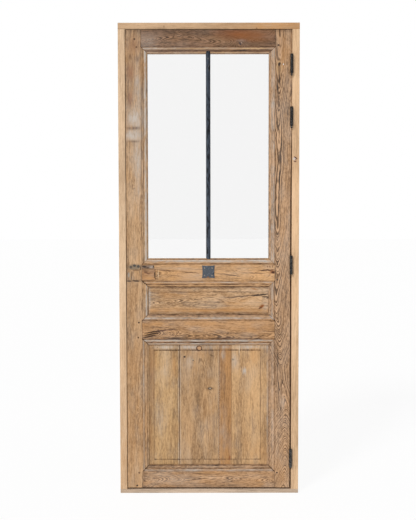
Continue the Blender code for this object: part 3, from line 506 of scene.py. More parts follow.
# %% Carry a section along its length
def rounded_section(corners, radius, step):
    """A closed outline with each corner eased by an arc of a radius, and points a step apart between."""
    corners = np.asarray(corners, dtype=float)
    points = []
    for index, corner in enumerate(corners):
        before = corners[index - 1] - corner
        after = corners[(index + 1) % len(corners)] - corner
        before_length, after_length = np.linalg.norm(before), np.linalg.norm(after)
        start = corner + before / before_length * radius
        stop = corner + after / after_length * radius
        for share in (0.0, 0.3, 0.7, 1.0):
            points.append((1 - share) ** 2 * start + 2 * share * (1 - share) * corner + share**2 * stop)
        straight = after_length - 2 * radius
        following = corner + after / after_length * (after_length - radius)
        for share in np.arange(1, int(straight / step)) / max(1, int(straight / step)):
            points.append(stop + (following - stop) * share)
    return np.array(points)


def carry(section, places, along):
    """Every section point at every place: (rows, ring, 3), with the section's two values on the other axes."""
    grid = np.zeros((len(places), len(section), 3))
    others = [axis for axis in range(3) if axis != along]
    grid[..., along] = places[:, None]
    grid[..., others[0]] = section[None, :, 0]
    grid[..., others[1]] = section[None, :, 1]
    return grid


def sides_of(node):
    """The low and high corner of a solid, in mm."""
    low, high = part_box(node)
    return np.array(low) / MM, np.array(high) / MM


# %% Head and sill
NEW_ARRIS = 1.2
RING_SEEDS = {"head": 3, "sill": 5, "jamb": 7}
FRAME_FRONT, FRAME_BACK = -32.5, 32.5
STOP_FRONT = 7.5
HEAD_UNDERSIDE = 2299.0
HEAD = {"path": ((-450, 2330, 30, 0), (450, 2345, 22, 20)), "least": 1, "knots": ((233, 2301, 5),)}
SILL = {"path": ((-450, -20, 40, 0), (450, -10, 60, 0)), "least": 1}
HEAD_MARKS = ((-218.5, 2311, 2.8, 7, 0, 0.5, "6E5038"), (233.4, 2302, 5, 3.6, 0, 0.5, "5E4028"))

low, high = sides_of("frame_head")
head_section = [
    (FRAME_FRONT, HEAD_UNDERSIDE),
    (FRAME_FRONT, high[2]),
    (FRAME_BACK, high[2]),
    (FRAME_BACK, low[2]),
    (STOP_FRONT, low[2]),
    (STOP_FRONT, HEAD_UNDERSIDE),
]
head = carry(rounded_section(head_section, NEW_ARRIS, 6.0), span(low[0], high[0], 10.0), 0)
head_look = rings_of(head, 0, HEAD, RING_SEEDS["head"])
head_look["warmth"] = 0.7 * spots(head, ((420.0, 2310.0, 260.0, 80.0, 1.0),))
head_look["stain"] = spots(head, ((430.0, 2316.0, 60.0, 40.0, 0.12), (-100.0, 2301.0, 500.0, 3.0, 0.3)))
# New oak, planed and oiled: pale honey, faint rings, pores just seen, a soft sheen.
new_head_oak = oak("new_oak_head", 0, "C8A580", OAK_SEEDS["head"], NEW, marks=HEAD_MARKS)
make_piece("head", head, ring_faces(*head.shape[:2]), new_head_oak, "frame", "frame_head", head_look)

low, high = sides_of("frame_sill")
sill_section = [(low[1], low[2]), (low[1], high[2]), (high[1], high[2]), (high[1], low[2])]
sill = carry(rounded_section(sill_section, NEW_ARRIS, 5.0), span(low[0], high[0], 8.0), 0)
# New oak, planed and trodden on: the same wood a little greyer.
sill_oak = oak("new_oak_sill", 0, "C4AD96", OAK_SEEDS["sill"], NEW)
sill_look = rings_of(sill, 0, SILL, RING_SEEDS["sill"])
make_piece("sill", sill, ring_faces(*sill.shape[:2]), sill_oak, "frame", "frame_sill", sill_look)
print("head and sill", PIECES)

# %% [markdown]
# The stop of the head runs over the top of both jambs, so each jamb is notched there: above the notch its
# section is pressed forward, off its own stop.

# %% Jambs
SEAT_FIT = 0.3
STOP_WIDTH = 13.0
NOTCH = 2286.0 - SEAT_FIT
JAMBS = (
    {
        "node": "frame_jamb_latch", "outer_side": -1, "body": "DBBB98",
        "path": ((0, -455, 26, 0), (900, -470, 34, 10), (2330, -460, 20, 40)),
        "least": 1, "warmth": ((-430, 250, 60, 700, 0.25),),
    },
    {
        "node": "frame_jamb_hinge", "outer_side": 1, "body": "DFBB94",
        "path": ((0, 458, 30, 0), (1200, 448, 24, 30), (2330, 462, 30, 60)),
        "least": 1, "knots": ((425, 1667, 12),), "warmth": ((430, 1500, 60, 900, 0.13),),
        "marks": (
            (424, 1667, 14, 17, 0, 0.6, "C49C78"), (421, 1668, 9.5, 10, 0, 0.5, "D0C0B2"),
            (427, 1673, 12, 4.2, 30, 0.35, "54362C"), (424, 1654.5, 9, 4, 10, 0.4, "664234"),
            (428, 1663.5, 5, 2.8, 30, 0.5, "735242"), (443, 640, 2.5, 5, 0, 0.7, "A67C50"),
        ),
    },
)
for number, jamb_look in enumerate(JAMBS):
    node, outer_side = jamb_look["node"], jamb_look["outer_side"]
    low, high = sides_of(node)
    outer, stop_edge = (low[0], high[0]) if outer_side < 0 else (high[0], low[0])
    face = stop_edge + outer_side * STOP_WIDTH
    section = [
        (outer, FRAME_FRONT),
        (face, FRAME_FRONT),
        (face, STOP_FRONT),
        (stop_edge, STOP_FRONT),
        (stop_edge, FRAME_BACK),
        (outer, FRAME_BACK),
    ]
    places = lines(span(low[2], NOTCH, 10.0), NOTCH + 0.05, span(NOTCH + 1.0, high[2], 6.0))
    jamb = carry(rounded_section(section, NEW_ARRIS, 6.0), places, 2)
    above = jamb[..., 2] > NOTCH + 0.02
    inner = np.where(outer_side < 0, np.minimum(jamb[..., 0], face), np.maximum(jamb[..., 0], face))
    jamb[..., 0] = np.where(above, inner, jamb[..., 0])
    jamb[..., 1] = np.where(above, np.minimum(jamb[..., 1], STOP_FRONT - SEAT_FIT), jamb[..., 1])
    attributes = rings_of(jamb, 2, jamb_look, RING_SEEDS["jamb"] + number)
    attributes["warmth"] = spots(jamb, jamb_look["warmth"])
    title = f"new_oak_jamb_{number + 1}"
    # New oak, planed and oiled: straw to honey with long faint rings, and a small sound knot at the hinges.
    seed = OAK_SEEDS["jamb"] + 6 * number
    finish = oak(title, 2, jamb_look["body"], seed, NEW, marks=jamb_look.get("marks", ()))
    name = node.replace("frame_", "")
    make_piece(name, jamb, ring_faces(*jamb.shape[:2]), finish, "frame", node, attributes)
print("jambs", PIECES)

# %% [markdown]
# ## The moulding
#
# Every inner edge of the leaf has the same moulding, worked on the solid with planes: a narrow quirk, a bead,
# a hollow, a smaller bead and a slope down to the sight edge. Its depth below the flat is a function of the
# distance in from the flat. Age has rubbed the beads down in places, so each bead's height is scaled by noise.

# %% The depth of the moulding
MOULDING = 31.0
QUIRK_DEPTH = 2.5
FALL = 8.5
BOWS = (
    (1.5, 9.5, 2.5, 0.35 * FALL, -2.6),
    (9.5, 16.5, 0.35 * FALL, 0.6 * FALL, 2.2),
    (16.5, 24.5, 0.6 * FALL, 0.75 * FALL, -1.8),
    (24.5, 31.0, 0.75 * FALL, FALL, 0.0),
)
ACROSS_BOWS = [np.linspace(bow[0], bow[1], 9) for bow in BOWS[:3]]
ACROSS_MOULDING = lines((0.0, 0.05, 0.75), *ACROSS_BOWS, (27.0, 29.5, 31.0))


def moulding_depth(inward, wear):
    """Depth at a distance in: on each stretch a straight line plus bow 4q(1 - q), the bow eased by wear."""
    depth = np.where(inward < 0.03, 0.0, QUIRK_DEPTH)
    for start, stop, depth_start, depth_stop, bow in BOWS:
        share = (inward - start) / (stop - start)
        here = (share >= 0) & (share <= 1)
        curve = depth_start + (depth_stop - depth_start) * share + bow * (1 - wear) * 4 * share * (1 - share)
        depth = np.where(here, curve, depth)
    return depth


print("moulding points", len(ACROSS_MOULDING))

# %% [markdown]
# Hands and light have bared the beads, and dirt has stayed in the hollows. The bands also paint light: their
# pale lines are partly painted highlights on the bead crests, and their dark lines partly painted shade in the
# hollows. Each edge has worn in its own way, so each has its own bands: a place in mm from the flat, a half
# width, and a tone that is above 0 for bare wood and painted highlight, and below 0 for dirt and painted shade.

# %% Bands of wear, dirt and painted light
BANDS = {
    "latch glass": ((1, 2, -0.3), (9, 3, -0.25), (20.5, 4.5, 0.9), (28, 2.2, -0.45)),
    "hinge glass": ((-2.5, 3, -0.3), (6, 3, 0.5), (15.5, 4, 0.55), (28.5, 2, -0.2)),
    "latch lower": ((6.5, 4, 0.3), (24.5, 2.4, -0.35)),
    "hinge lower": ((10, 7, 0.2), (27, 3, -0.35), (-0.5, 2, -0.3)),
    "latch small": ((1, 2, -0.2), (21.5, 3, 0.7), (29.5, 2.5, -0.35)),
    "hinge small": ((0.5, 2, -0.4), (13, 5, 0.45), (27, 3, -0.1)),
    "rail_top low": ((8.5, 3.5, 1.2), (18.5, 4, -0.25), (28.5, 2.8, 0.8), (31.5, 1, -0.3)),
    "rail_middle high": ((5, 4, -0.9), (14, 12, 0.55), (20, 4, 0.5), (26.2, 2.4, -1)),
    "rail_middle low": ((1.5, 1.8, -0.8), (8, 3.2, 0.9), (17.5, 2.6, -0.7), (30, 3.5, -0.9)),
    "rail_lock high": ((1, 2.4, -0.3), (11.5, 4, 0.6), (20, 3, 0.1), (29, 3.6, -0.65)),
    "rail_lock low": ((1.5, 1.8, -1), (9, 4.4, 1.2), (18, 2.6, -0.8), (25, 3.2, 0.6), (31, 1.6, -0.4)),
    "rail_bottom high": ((5, 5, 0.5), (14, 3.5, -0.35), (20.5, 2.2, 0.25), (29, 4, -0.5)),
}
# On these two edges the pale lines, wear and painted highlight together, are warm in colour.
WARM_BEADS = ("rail_top low", "rail_middle low")
MITRE_DIRT = 0.75
SHOULDER_DIRT, SHOULDER_LINE = 0.7, 0.9
WEATHER_SEED = 91


def band_tone(inward, bands, reach, places, seed):
    """Sum of tone times exp(-((s - place) / width)^2), made uneven along the member, and dark at the mitre."""
    tone = sum(amount * np.exp(-(((inward - place) / width) ** 2)) for place, width, amount in bands)
    uneven = 1.0 + 0.5 * noise(places, 34.0, seed) + 0.35 * noise(places, 11.0, seed + 1)
    near_mitre = (reach < MOULDING - 0.01) & (inward > reach - 1.2)
    return tone * uneven * (reach > 0.01) - MITRE_DIRT * near_mitre


def tint(attributes, tone, warm=False):
    """Add a tone: above 0 bare wood and painted highlight, grey or warm; below 0 stain and painted shade."""
    bare = np.maximum(tone, 0)
    added = {"bleach": bare * (0.5 if warm else 1), "warmth": bare * warm, "stain": bare - tone}
    for title, values in added.items():
        attributes[title] = np.clip(attributes[title] + values, 0, 1)


def old_wood(points, along, look, seed):
    """An old piece's attributes: rings, and bleached, stained and warm places with noise, partly painted light.
    """
    attributes = rings_of(points, along, look, seed)
    uneven = 0.12 * noise(points, 60.0, WEATHER_SEED)
    for title, share in (("bleach", 1.0), ("stain", 0.6), ("warmth", 0.0)):
        attributes[title] = np.clip(spots(points, look.get(title, ())) + share * uneven, 0, 1)
    return attributes


print("bands for", len(BANDS), "edges")

# %% [markdown]
# ## Stiles
#
# A stile is one upright. Beside an opening it is at its full width, moulding and all. Beside a rail the
# moulding stops in a mitre and the stile is cut back to its flat, so that the two beads meet at 45 degrees.
# The section is therefore one ring whose inner points are held back to the mitre: at each height the points
# reach inwards as far as the nearer mitre allows. Rows are set where the mitre crosses each point of the
# moulding, which keeps that slanting line crisp.

# %% Sizes of the leaf
STILE_FLAT = 75.5
LEAF_THICKNESS = 36.0
LEAF_LOW, LEAF_HIGH = 27.0, 2296.0
OPENINGS = ((140.5, 745.5), (899.0, 1035.0), (1177.5, 2183.5))
OPENING_NAMES = ("lower", "small", "glass")
GLASS_LOW = OPENINGS[2][0]
GROOVE_FRONT, GROOVE_BACK, GROOVE_DEPTH = 12.0, 24.0, 10.0
REBATE = 11.5
SHOULDERS = (-333.0, 326.5)
OLD_ARRIS = 1.8
FRONT_DEPTH = 10.0
ROW_STEP, FLAT_STEP = 4.5, 4.0
CRISP, TOUCH = 0.05, 0.02
MOST_WORN = 0.8


def arris(distance, radius):
    """How far an eased corner falls back at a distance from the edge: r - sqrt(r^2 - (r - d)^2)."""
    short = np.clip(radius - distance, 0.0, radius)
    return radius - np.sqrt(radius * radius - short * short)


def reach_of(level, openings):
    """How far the moulding stands out: the distance to the nearer mitre, between 0 and its width."""
    reach = np.zeros_like(level)
    for low, high in openings:
        reach = np.maximum(reach, np.clip(np.minimum(level - low, high - level) + MOULDING, 0.0, MOULDING))
    return reach


def inner_wall(reach, glass):
    """The edge behind the moulding, as (inward, depth): a groove for a panel, or a rebate open at the back."""
    groove = np.minimum(MOULDING - GROOVE_DEPTH, reach)
    rebate = np.minimum(MOULDING - REBATE, reach)
    inward = np.stack([reach, groove, groove, reach, reach], axis=-1)
    inward_glass = np.stack([reach, rebate, rebate, rebate, rebate], axis=-1)
    depth = [GROOVE_FRONT, GROOVE_FRONT, GROOVE_BACK, GROOVE_BACK, LEAF_THICKNESS]
    depth_glass = [GROOVE_FRONT, GROOVE_FRONT, GROOVE_BACK, LEAF_THICKNESS, LEAF_THICKNESS]
    is_glass = np.broadcast_to(glass, reach.shape)[..., None]
    return np.where(is_glass, inward_glass, inward), np.where(is_glass, depth_glass, depth)


def raised_grain(points, along, seed, amount=1.0):
    """Old oak is never flat: a slow swell of 0.4 mm and ridges of 0.15 mm along the grain."""
    slow = [90.0, 90.0, 90.0]
    fine = [9.0, 9.0, 9.0]
    slow[along], fine[along] = 500.0, 120.0
    return amount * (0.4 * noise(points, slow, seed) + 0.15 * noise(points, fine, seed + 1))


print("leaf", LEAF_HIGH - LEAF_LOW, "mm high and", LEAF_THICKNESS, "mm thick")

# %% [markdown]
# The latch stile is mottled, with the seat of an old lock beside the middle rail. The hinge stile was cut near
# the heart of its tree, so dark pointed arches run down its whole length, and near the top a knot has cracked.
# The paths below give that heart: how far across it lies, how deep, and how much it leans at each height.

# %% What the stiles look like
STILES = (
    {
        "node": "stile_latch", "outer": -408.5, "towards": 1, "body": "B8946E", "look": CALM,
        "seats": ((-387.3, -335.7, 1069.7, 1123.3),),
        "wells": ((-402, 1095, 5, 24, 2.2), (-362, 1140, 24, 9, 1.4)),
        "swelling": 0,
        "path": (
            (27, -320, 60, 0), (500, -332, 55, 20), (1100, -318, 60, 30), (1700, -330, 55, 50),
            (2296, -325, 60, 60),
        ),
        "least": 0.6, "knots": ((-366, 1530, 9), (-352, 420, 8)),
        "bleach": (
            (-368, 1830, 60, 300, 0.25), (-366, 1872, 44, 46, 0.5), (-374, 1782, 42, 22, 0.6),
            (-350, 1600, 14, 160, 0.4), (-352, 2060, 12, 100, 0.35),
        ),
        # The last stain, at the latch edge near 1120, is painted shade in the worn hollow there.
        "stain": (
            (-360, 2296, 90, 30, 0.35), (-372, 2225, 60, 60, 0.15), (-387, 2166, 10, 12, 0.35),
            (-351, 2155, 9, 16, 0.35), (-372, 1819, 34, 8, 0.6), (-374, 1754, 32, 5, 0.6),
            (-386, 2080, 26, 100, 0.3), (-395, 1960, 14, 60, 0.3), (-362, 1137, 34, 11, 0.5),
            (-403, 1120, 5, 45, 0.6),
        ),
        "warmth": ((-375, 2120, 60, 130, 0.25), (-372, 1819, 34, 12, 0.5), (-370, 420, 80, 500, 0.25)),
        "marks": (
            (-384, 2090, 24, 54, 0, 1.6, "946448"), (-366, 2222, 44, 64, 0, 2, "8E6246"),
            (-386, 1965, 18, 56, 0, 1.8, "9C6C50"), (-398, 1096, 6.5, 17, 0, 0.6, "9C9284"),
            (-398, 1066, 16, 4.4, 4, 0.4, "54463A"), (-362, 1066, 28, 4, 4, 0.4, "4E3E30"),
            (-368, 1134, 44, 20, 0, 0.6, "86745E"), (-370, 1142, 10, 8, 0, 0.4, "4A4642"),
            (-350, 1138, 8, 9, 0, 0.4, "4E4842"), (-388, 1134, 8, 9, 0, 0.4, "5C5046"),
            (-339, 1124, 3.4, 20, 0, 0.4, "5E4836"),
        ),
    },
    {
        "node": "stile_hinge", "outer": 402, "towards": -1, "body": "B28E6C", "look": WILD, "seats": (),
        "wells": ((345.2, 2130, 5, 8, 1.6),), "swelling": 5.5,
        "path": (
            (27, 374, 12, 0), (250, 376, 9, 78), (430, 380, 9, 177), (540, 366, 7, 190), (640, 353, 8, 194),
            (850, 348, 8, 118), (905, 340, 8, 110), (972, 337, 8, 95), (1100, 340, 12, 80), (1250, 339, 9, 50),
            (1330, 339, 10, 34), (1450, 341, 14, 27), (1700, 343, 18, 24), (1900, 342, 18, 17),
            (2050, 342, 15, 2), (2130, 344, 12, -8), (2296, 348, 20, -20),
        ),
        "knots": ((345, 2130, 9),),
        "bleach": ((385, 1500, 30, 700, 0.1), (372, 455, 14, 30, 0.3)),
        "stain": (
            (340, 2030, 9, 90, 0.25), (365, 2292, 60, 9, 0.4), (346, 2235, 30, 60, 0.2),
            (340, 700, 12, 90, 0.3),
        ),
        "warmth": ((368, 150, 40, 110, 0.3), (352, 2130, 20, 60, 0.3), (366, 2220, 40, 90, 0.35)),
        "marks": (
            (344.5, 2112, 15, 42, 0, 0.3, "C09A70"), (345.5, 2106, 10, 36, 0, 0.5, "8C6C4E"),
            (345.2, 2130, 9, 13, 0, 0.6, "3A2C24"), (344, 2153, 2.4, 9, 0, 0.7, "4E3C2E"),
            (346.4, 2056, 5, 44, -3.3, 0.7, "40322A"), (337, 2016, 6.5, 52, -3.7, 0.8, "463A32"),
            (343.4, 1950, 5, 36, -2.8, 0.8, "4C3E34"), (338, 1840, 4.5, 40, 2, 0.8, "5C4A3A"),
            (357, 1742, 3.6, 52, 0, 0.6, "4E4036"), (350.5, 1662, 3.4, 44, 6.5, 0.6, "56463A"),
            (346.5, 1568, 4, 66, 0, 0.6, "4A3D34"), (345, 1440, 3.6, 66, 1, 0.6, "524238"),
            (365.3, 2128.5, 3.6, 4.4, 0, 0.4, "E9E6E0"), (368, 2284, 34, 2.2, 92, 0.7, "5E4836"),
            (342.5, 672, 2.6, 52, -1.5, 0.5, "4A3D33"), (348, 540, 2.4, 44, -9, 0.5, "50423A"),
            (356, 430, 2.2, 26, -8, 0.5, "4E4036"), (329, 1112, 2.4, 32, 0, 0.7, "5A4838"),
        ),
    },
)

# %% [markdown]
# The ring of a stile starts at its outer edge and runs over the flat, the moulding, the wall behind it and the
# back. Rows and points are closer where an edge has to stay sharp: at each mitre, seat and hinge.

# %% The section of a stile
STILE_SEEDS = {"wear": 40, "grain": 50, "rings": 60, "wells": 77, "bands": 200}
BACK_SHARES = np.array([0.97, 0.85, 0.7, 0.55, 0.4, 0.25, 0.12])
SIDE_DEPTHS = np.array([35.9, 35.0, 33.5, 27.0, 18.0, 9.0, 4.0])
PATCH_SEAT = 8.3
SWELLING_FROM, SWELLING_TO = 1500.0, 1800.0
HINGE_SPANS = ((2129.0, 51.0), (1873.0, 51.0))


def stile_rows(seats):
    """Heights of the rows: an even run, and every place where a mitre crosses a point of the moulding."""
    crossings = [edge + ACROSS_MOULDING for low, high in OPENINGS for edge in (low - MOULDING, high)]
    edges = [(seat[2], seat[2] - CRISP, seat[3], seat[3] + CRISP) for seat in seats]
    hinge_ends = []
    for middle, half in HINGE_SPANS:
        hinge_ends += [middle - half, middle - half - 0.5, middle + half, middle + half + 0.5]
    return lines(span(LEAF_LOW, LEAF_HIGH, ROW_STEP), *crossings, *edges, hinge_ends)


def stile_section(seats, number):
    """The ring at every row, as (inward, depth): front flat, moulding, wall, back and outer edge."""
    cuts = ((seat[0], seat[0] - CRISP, seat[1], seat[1] + CRISP) for seat in seats)
    eased = np.linspace(0.0, OLD_ARRIS, 4)
    flat = lines(eased, span(OLD_ARRIS + 1.0, STILE_FLAT - 1.0, FLAT_STEP), STILE_FLAT - 0.4, *cuts)
    rows = stile_rows(seats)
    reach = reach_of(rows, OPENINGS)
    moulded = np.minimum(ACROSS_MOULDING[None, :], reach[:, None])
    wall, wall_depth = inner_wall(reach, rows > GLASS_LOW - MOULDING - 1.0)
    back = (STILE_FLAT + wall[:, -1:]) * BACK_SHARES[None, :]
    tall = np.ones((len(rows), 1))
    side = arris(LEAF_THICKNESS - SIDE_DEPTHS, OLD_ARRIS) * tall
    inward = np.concatenate([flat * tall, STILE_FLAT + moulded, STILE_FLAT + wall, back, side], axis=1)
    near = np.stack([moulded * 0, moulded * 0, rows[:, None] + moulded * 0], axis=-1)
    wear = np.clip(0.25 + 0.35 * noise(near, 130.0, STILE_SEEDS["wear"] + number), 0, MOST_WORN)
    bead = np.where(reach[:, None] > 0.01, moulding_depth(moulded, wear), 0.0)
    behind = np.full(back.shape, LEAF_THICKNESS)
    depth = [arris(flat, OLD_ARRIS) * tall, bead, wall_depth, behind, SIDE_DEPTHS * tall]
    return rows, reach, inward, np.concatenate(depth, axis=1)


print("a stile has", len(stile_rows(())), "rows or more")

# %% Build the stiles
for number, stile in enumerate(STILES):
    outer, towards = stile["outer"], stile["towards"]
    seats = [sorted((x - outer) * towards for x in seat[:2]) + list(seat[2:]) for seat in stile["seats"]]
    rows, reach, inward, depth = stile_section(seats, number)
    height = np.broadcast_to(rows[:, None], inward.shape)
    reach = np.broadcast_to(reach[:, None], inward.shape)
    between_hinges = np.prod([np.abs(height - middle) > half + 0.2 for middle, half in HINGE_SPANS], axis=0)
    climb = np.clip((height - SWELLING_FROM) / (SWELLING_TO - SWELLING_FROM), 0, 1)
    swelling = stile["swelling"] * climb * between_hinges * np.clip(1 - inward / OLD_ARRIS / 4, 0, 1)
    points = np.stack([outer + towards * (inward - swelling), LEAF_FRONT + depth, height], axis=-1)
    points[..., 1] += raised_grain(points, 2, STILE_SEEDS["grain"] + number) * (depth < GROOVE_FRONT)
    front = depth < FRONT_DEPTH
    for well in stile["wells"]:
        uneven = 0.8 + 0.3 * noise(points, 6.0, STILE_SEEDS["wells"])
        points[..., 1] += front * spots(points, (well,)) * uneven
    for start, stop, low, high in seats:
        inside = front & (np.abs(inward - (start + stop) / 2) < (stop - start) / 2 + TOUCH)
        points[..., 1] += PATCH_SEAT * (inside & (height > low - TOUCH) & (height < high + TOUCH))
    attributes = old_wood(points, 2, stile, STILE_SEEDS["rings"] + number)
    in_moulding = inward - STILE_FLAT
    for (low, high), title in zip(OPENINGS, OPENING_NAMES):
        beside = (height > low - MOULDING - 1) & (height < high + MOULDING + 1) & (in_moulding > -6.0)
        bands = BANDS[f"{'latch' if towards > 0 else 'hinge'} {title}"]
        tint(attributes, band_tone(in_moulding, bands, reach, points, STILE_SEEDS["bands"] + number) * beside)
    tint(attributes, -SHOULDER_DIRT * np.exp(-((in_moulding / SHOULDER_LINE) ** 2)) * (reach < 0.01))
    # Old oak, hand-planed and weathered: grey-brown and mottled, dark rings standing out, a dry dull surface.
    seed, node = OAK_SEEDS["stile"] + 5 * number, stile["node"]
    finish = oak("old_oak_" + node, 2, stile["body"], seed, stile["look"], stile["marks"])
    make_piece(node + "_oak", points, ring_faces(*points.shape[:2]), finish, "leaf", node, attributes)
print("stiles", PIECES)

# %% [markdown]
# ## Rails
#
# A rail is the same idea turned on its side, with a moulding on one edge or on both. Its ring runs up the
# front, back through the wall of the upper edge, down the back and forward through the lower wall. Where a
# mitre has opened with age, the rail's reach stops short, and the gap is real. The top rail has darkened most,
# with a red patch and a swirl round a knot. The middle rail is the palest, and has cracked at its right end.

# %% What the rails look like
OPEN = 2.2
RAILS = (
    {
        "node": "rail_bottom", "low": 27, "high": 140.5, "edges": (None, "groove"),
        "gaps": {("latch", "high"): OPEN, ("hinge", "high"): OPEN},
        "body": "B28C68", "look": OLD,
        "path": ((-335, 60, 10, 0), (-120, 70, 12, 54), (60, 76, 10, 62), (200, 66, 12, 40), (330, 60, 12, 10)),
        "least": 0.5, "knots": ((-120, 84, 8),), "bleach": ((-150, 60, 160, 30, 0.15),),
        "stain": ((0, 28, 400, 5, 0.3), (-325, 90, 6, 50, 0.3), (320, 90, 6, 50, 0.3)),
        "warmth": ((259, 46, 34, 16, 0.8), (60, 100, 200, 10, 0.3)),
        "marks": ((-40, 96, 40, 1.8, 3, 0.5, "6E543C"), (120, 60, 46, 1.8, -3, 0.5, "74583E")),
    },
    {
        "node": "rail_lock", "low": 745.5, "high": 899, "edges": ("groove", "groove"),
        "gaps": {("latch", "low"): OPEN, ("hinge", "high"): OPEN},
        "body": "AE865F", "look": OLD,
        "path": (
            (-335, 800, 9, 0), (-180, 803, 10, 46), (-60, 790, 14, 60), (150, 780, 18, 80), (330, 800, 20, 90),
        ),
        "least": 0.4, "wide": 24, "knots": ((-150, 800, 10), (90, 800, 7)),
        "bleach": ((-60, 830, 60, 12, 0.2), (180, 830, 60, 14, 0.15)),
        "stain": ((-270, 790, 60, 8, 0.3), (60, 779, 300, 4, 0.4), (210, 790, 90, 6, 0.2)),
        "warmth": ((-280, 850, 90, 12, 0.4), (-40, 855, 160, 10, 0.3), (220, 830, 100, 30, 0.3)),
        "marks": (
            (-290, 801, 44, 19, -9, 0.5, "B08658"), (-268, 813, 62, 4.4, -8, 0.3, "442E20"),
            (-284, 801, 50, 4.6, -10, 0.3, "422C1E"), (-296, 789, 40, 5.2, -10, 0.3, "463024"),
            (-214, 821, 60, 3, -3, 0.4, "64483A"), (-180, 795, 24, 1.8, 6, 0.5, "735844"),
            (-170, 780, 70, 3.6, 2, 0.6, "5A4738"), (85, 781, 44, 3.4, -5, 0.6, "5C3F2C"),
        ),
    },
    {
        "node": "rail_middle", "low": 1035, "high": 1177.5, "edges": ("groove", "rebate"),
        "gaps": {("latch", "low"): 1.6 * OPEN},
        "seats": ((-340, -265.4, 1068.7, 1125.3), (-340, -271.4, 1127.2, 1143.3)),
        "body": "C4986A", "look": CALM,
        "path": (
            (-335, 1095, 20, 0), (-120, 1105, 24, 30), (80, 1098, 16, 40), (200, 1090, 20, 40),
            (330, 1100, 26, 60),
        ),
        "knots": ((150, 1108, 8), (-150, 1100, 6)),
        "bleach": ((180, 1110, 120, 30, 0.15), (-160, 1128, 90, 8, 0.25), (-60, 1090, 40, 20, 0.2)),
        "stain": ((-258, 1095, 3, 30, 0.5), (-4, 1076, 30, 3, 0.5), (90, 1092, 60, 4, 0.25)),
        "warmth": (
            (-130, 1110, 90, 30, 0.35), (-120, 1078, 80, 8, 0.4), (-3, 1150, 40, 5, 0.9),
            (120, 1145, 60, 6, 0.4),
        ),
        "marks": (
            (286, 1119, 46, 4, -2, 0.4, "4E3424"), (230, 1104, 60, 2.6, 3, 0.5, "7A5A40"),
            (313, 1110, 20, 14, 0, 0.7, "8A5632"), (317, 1108, 11, 8, 0, 0.5, "4C2E1E"),
            (290, 1137, 3, 6, 10, 0.5, "8A6444"), (300, 1137, 3, 6, -10, 0.5, "8A6444"),
            (316, 1138, 2.6, 9, 0, 0.5, "6E4C34"), (134, 1117, 5, 3, 20, 0.7, "8A5E3C"),
            (70, 1099, 48, 3.2, 4, 0.6, "665040"), (130, 1091, 46, 2.6, 5, 0.6, "6E5846"),
            (46, 1133, 20, 1.6, 3, 0.5, "927456"), (-205, 1117, 56, 3.2, 3, 0.6, "6E5038"),
            (-95, 1108, 66, 3, 4, 0.6, "6A4E36"), (-190, 1092, 40, 2.2, -4, 0.6, "7E5E40"),
            (-252, 1100, 2.6, 26, 0, 0.7, "D8BA96"),
        ),
    },
    {
        "node": "rail_top", "low": 2183.5, "high": 2296, "edges": ("rebate", None), "gaps": {},
        "body": "84644B", "look": DARK,
        "path": (
            (-335, 2240, 14, 0), (-145, 2262, 8, 30), (20, 2240, 16, 40), (150, 2234, 6, 70),
            (330, 2262, 10, 20),
        ),
        "least": 0.45,
        "knots": ((-145, 2265, 8), (152, 2230, 16), (300, 2265, 10)),
        "bleach": ((-300, 2240, 50, 30, 0.2), (250, 2262, 60, 10, 0.25), (160, 2245, 24, 6, 0.4)),
        "stain": ((-100, 2292, 400, 5, 0.35), (120, 2222, 30, 8, 0.2), (230, 2240, 150, 50, 0.38)),
        "warmth": ((150, 2250, 200, 60, 0.1),),
        # Lines at 2188.5 to 2206 on the lower moulding: partly wear, partly painted highlight and shade.
        "marks": (
            (140, 2274, 150, 42, 4, 1.5, "8C4A14"), (240, 2268, 130, 40, 2, 1.6, "8C5018"),
            (215, 2206, 95, 3.4, 0, 0.5, "D0AB80"), (-60, 2206, 180, 2.8, 0, 0.6, "B8946E"),
            (150, 2196, 60, 2.8, 0, 0.5, "3A2B20"), (-110, 2196.5, 200, 2.6, 0, 0.6, "5A4434"),
            (60, 2188.5, 230, 2.6, 0, 0.6, "B48E66"), (153, 2229, 5, 12, -35, 0.5, "463A38"),
            (160, 2234, 3, 6, -35, 0.7, "A89080"), (174, 2200, 10, 3, 0, 0.6, "3E3632"),
            (-146, 2265, 14, 3.4, 0, 0.7, "5E4636"), (-150, 2269, 18, 1.8, 8, 0.7, "B08E70"),
            (329, 2292, 5, 4, 0, 0.6, "33261E"), (-210, 2234, 44, 2, -5, 0.5, "5A4638"),
            (-90, 2221, 40, 2, 3, 0.5, "5E4232"),
        ),
    },
)

# %% The section of a rail
RAIL_SEEDS = {"wear": 70, "grain": 80, "rings": 90, "bands": 210}
PLAIN_STEPS = np.array([3.0, OLD_ARRIS, 0.9, 0.3, 0.0])
PLAIN_DEPTHS = np.array([12.0, 24.0, 35.0])


def rail_edge(reach, kind, number):
    """One edge from its flat line out, as (outward, depth, wall outward, wall depth), moulded or plain."""
    if kind is None:
        outward = np.broadcast_to(MOULDING - PLAIN_STEPS, (len(reach), len(PLAIN_STEPS)))
        wall = np.full((len(reach), 3), MOULDING)
        return outward, arris(PLAIN_STEPS, OLD_ARRIS) + 0 * outward, wall, PLAIN_DEPTHS + 0 * wall
    outward = np.minimum(ACROSS_MOULDING[None, :], reach[:, None])
    places = np.stack([np.arange(len(reach)) * 5.0] * 3, axis=-1)
    wear = np.clip(0.2 + 0.35 * noise(places, 110.0, RAIL_SEEDS["wear"] + number), 0, MOST_WORN)[:, None]
    depth = np.where(reach[:, None] > 0.01, moulding_depth(outward, wear), 0.0)
    return (outward, depth, *inner_wall(reach, kind == "rebate"))


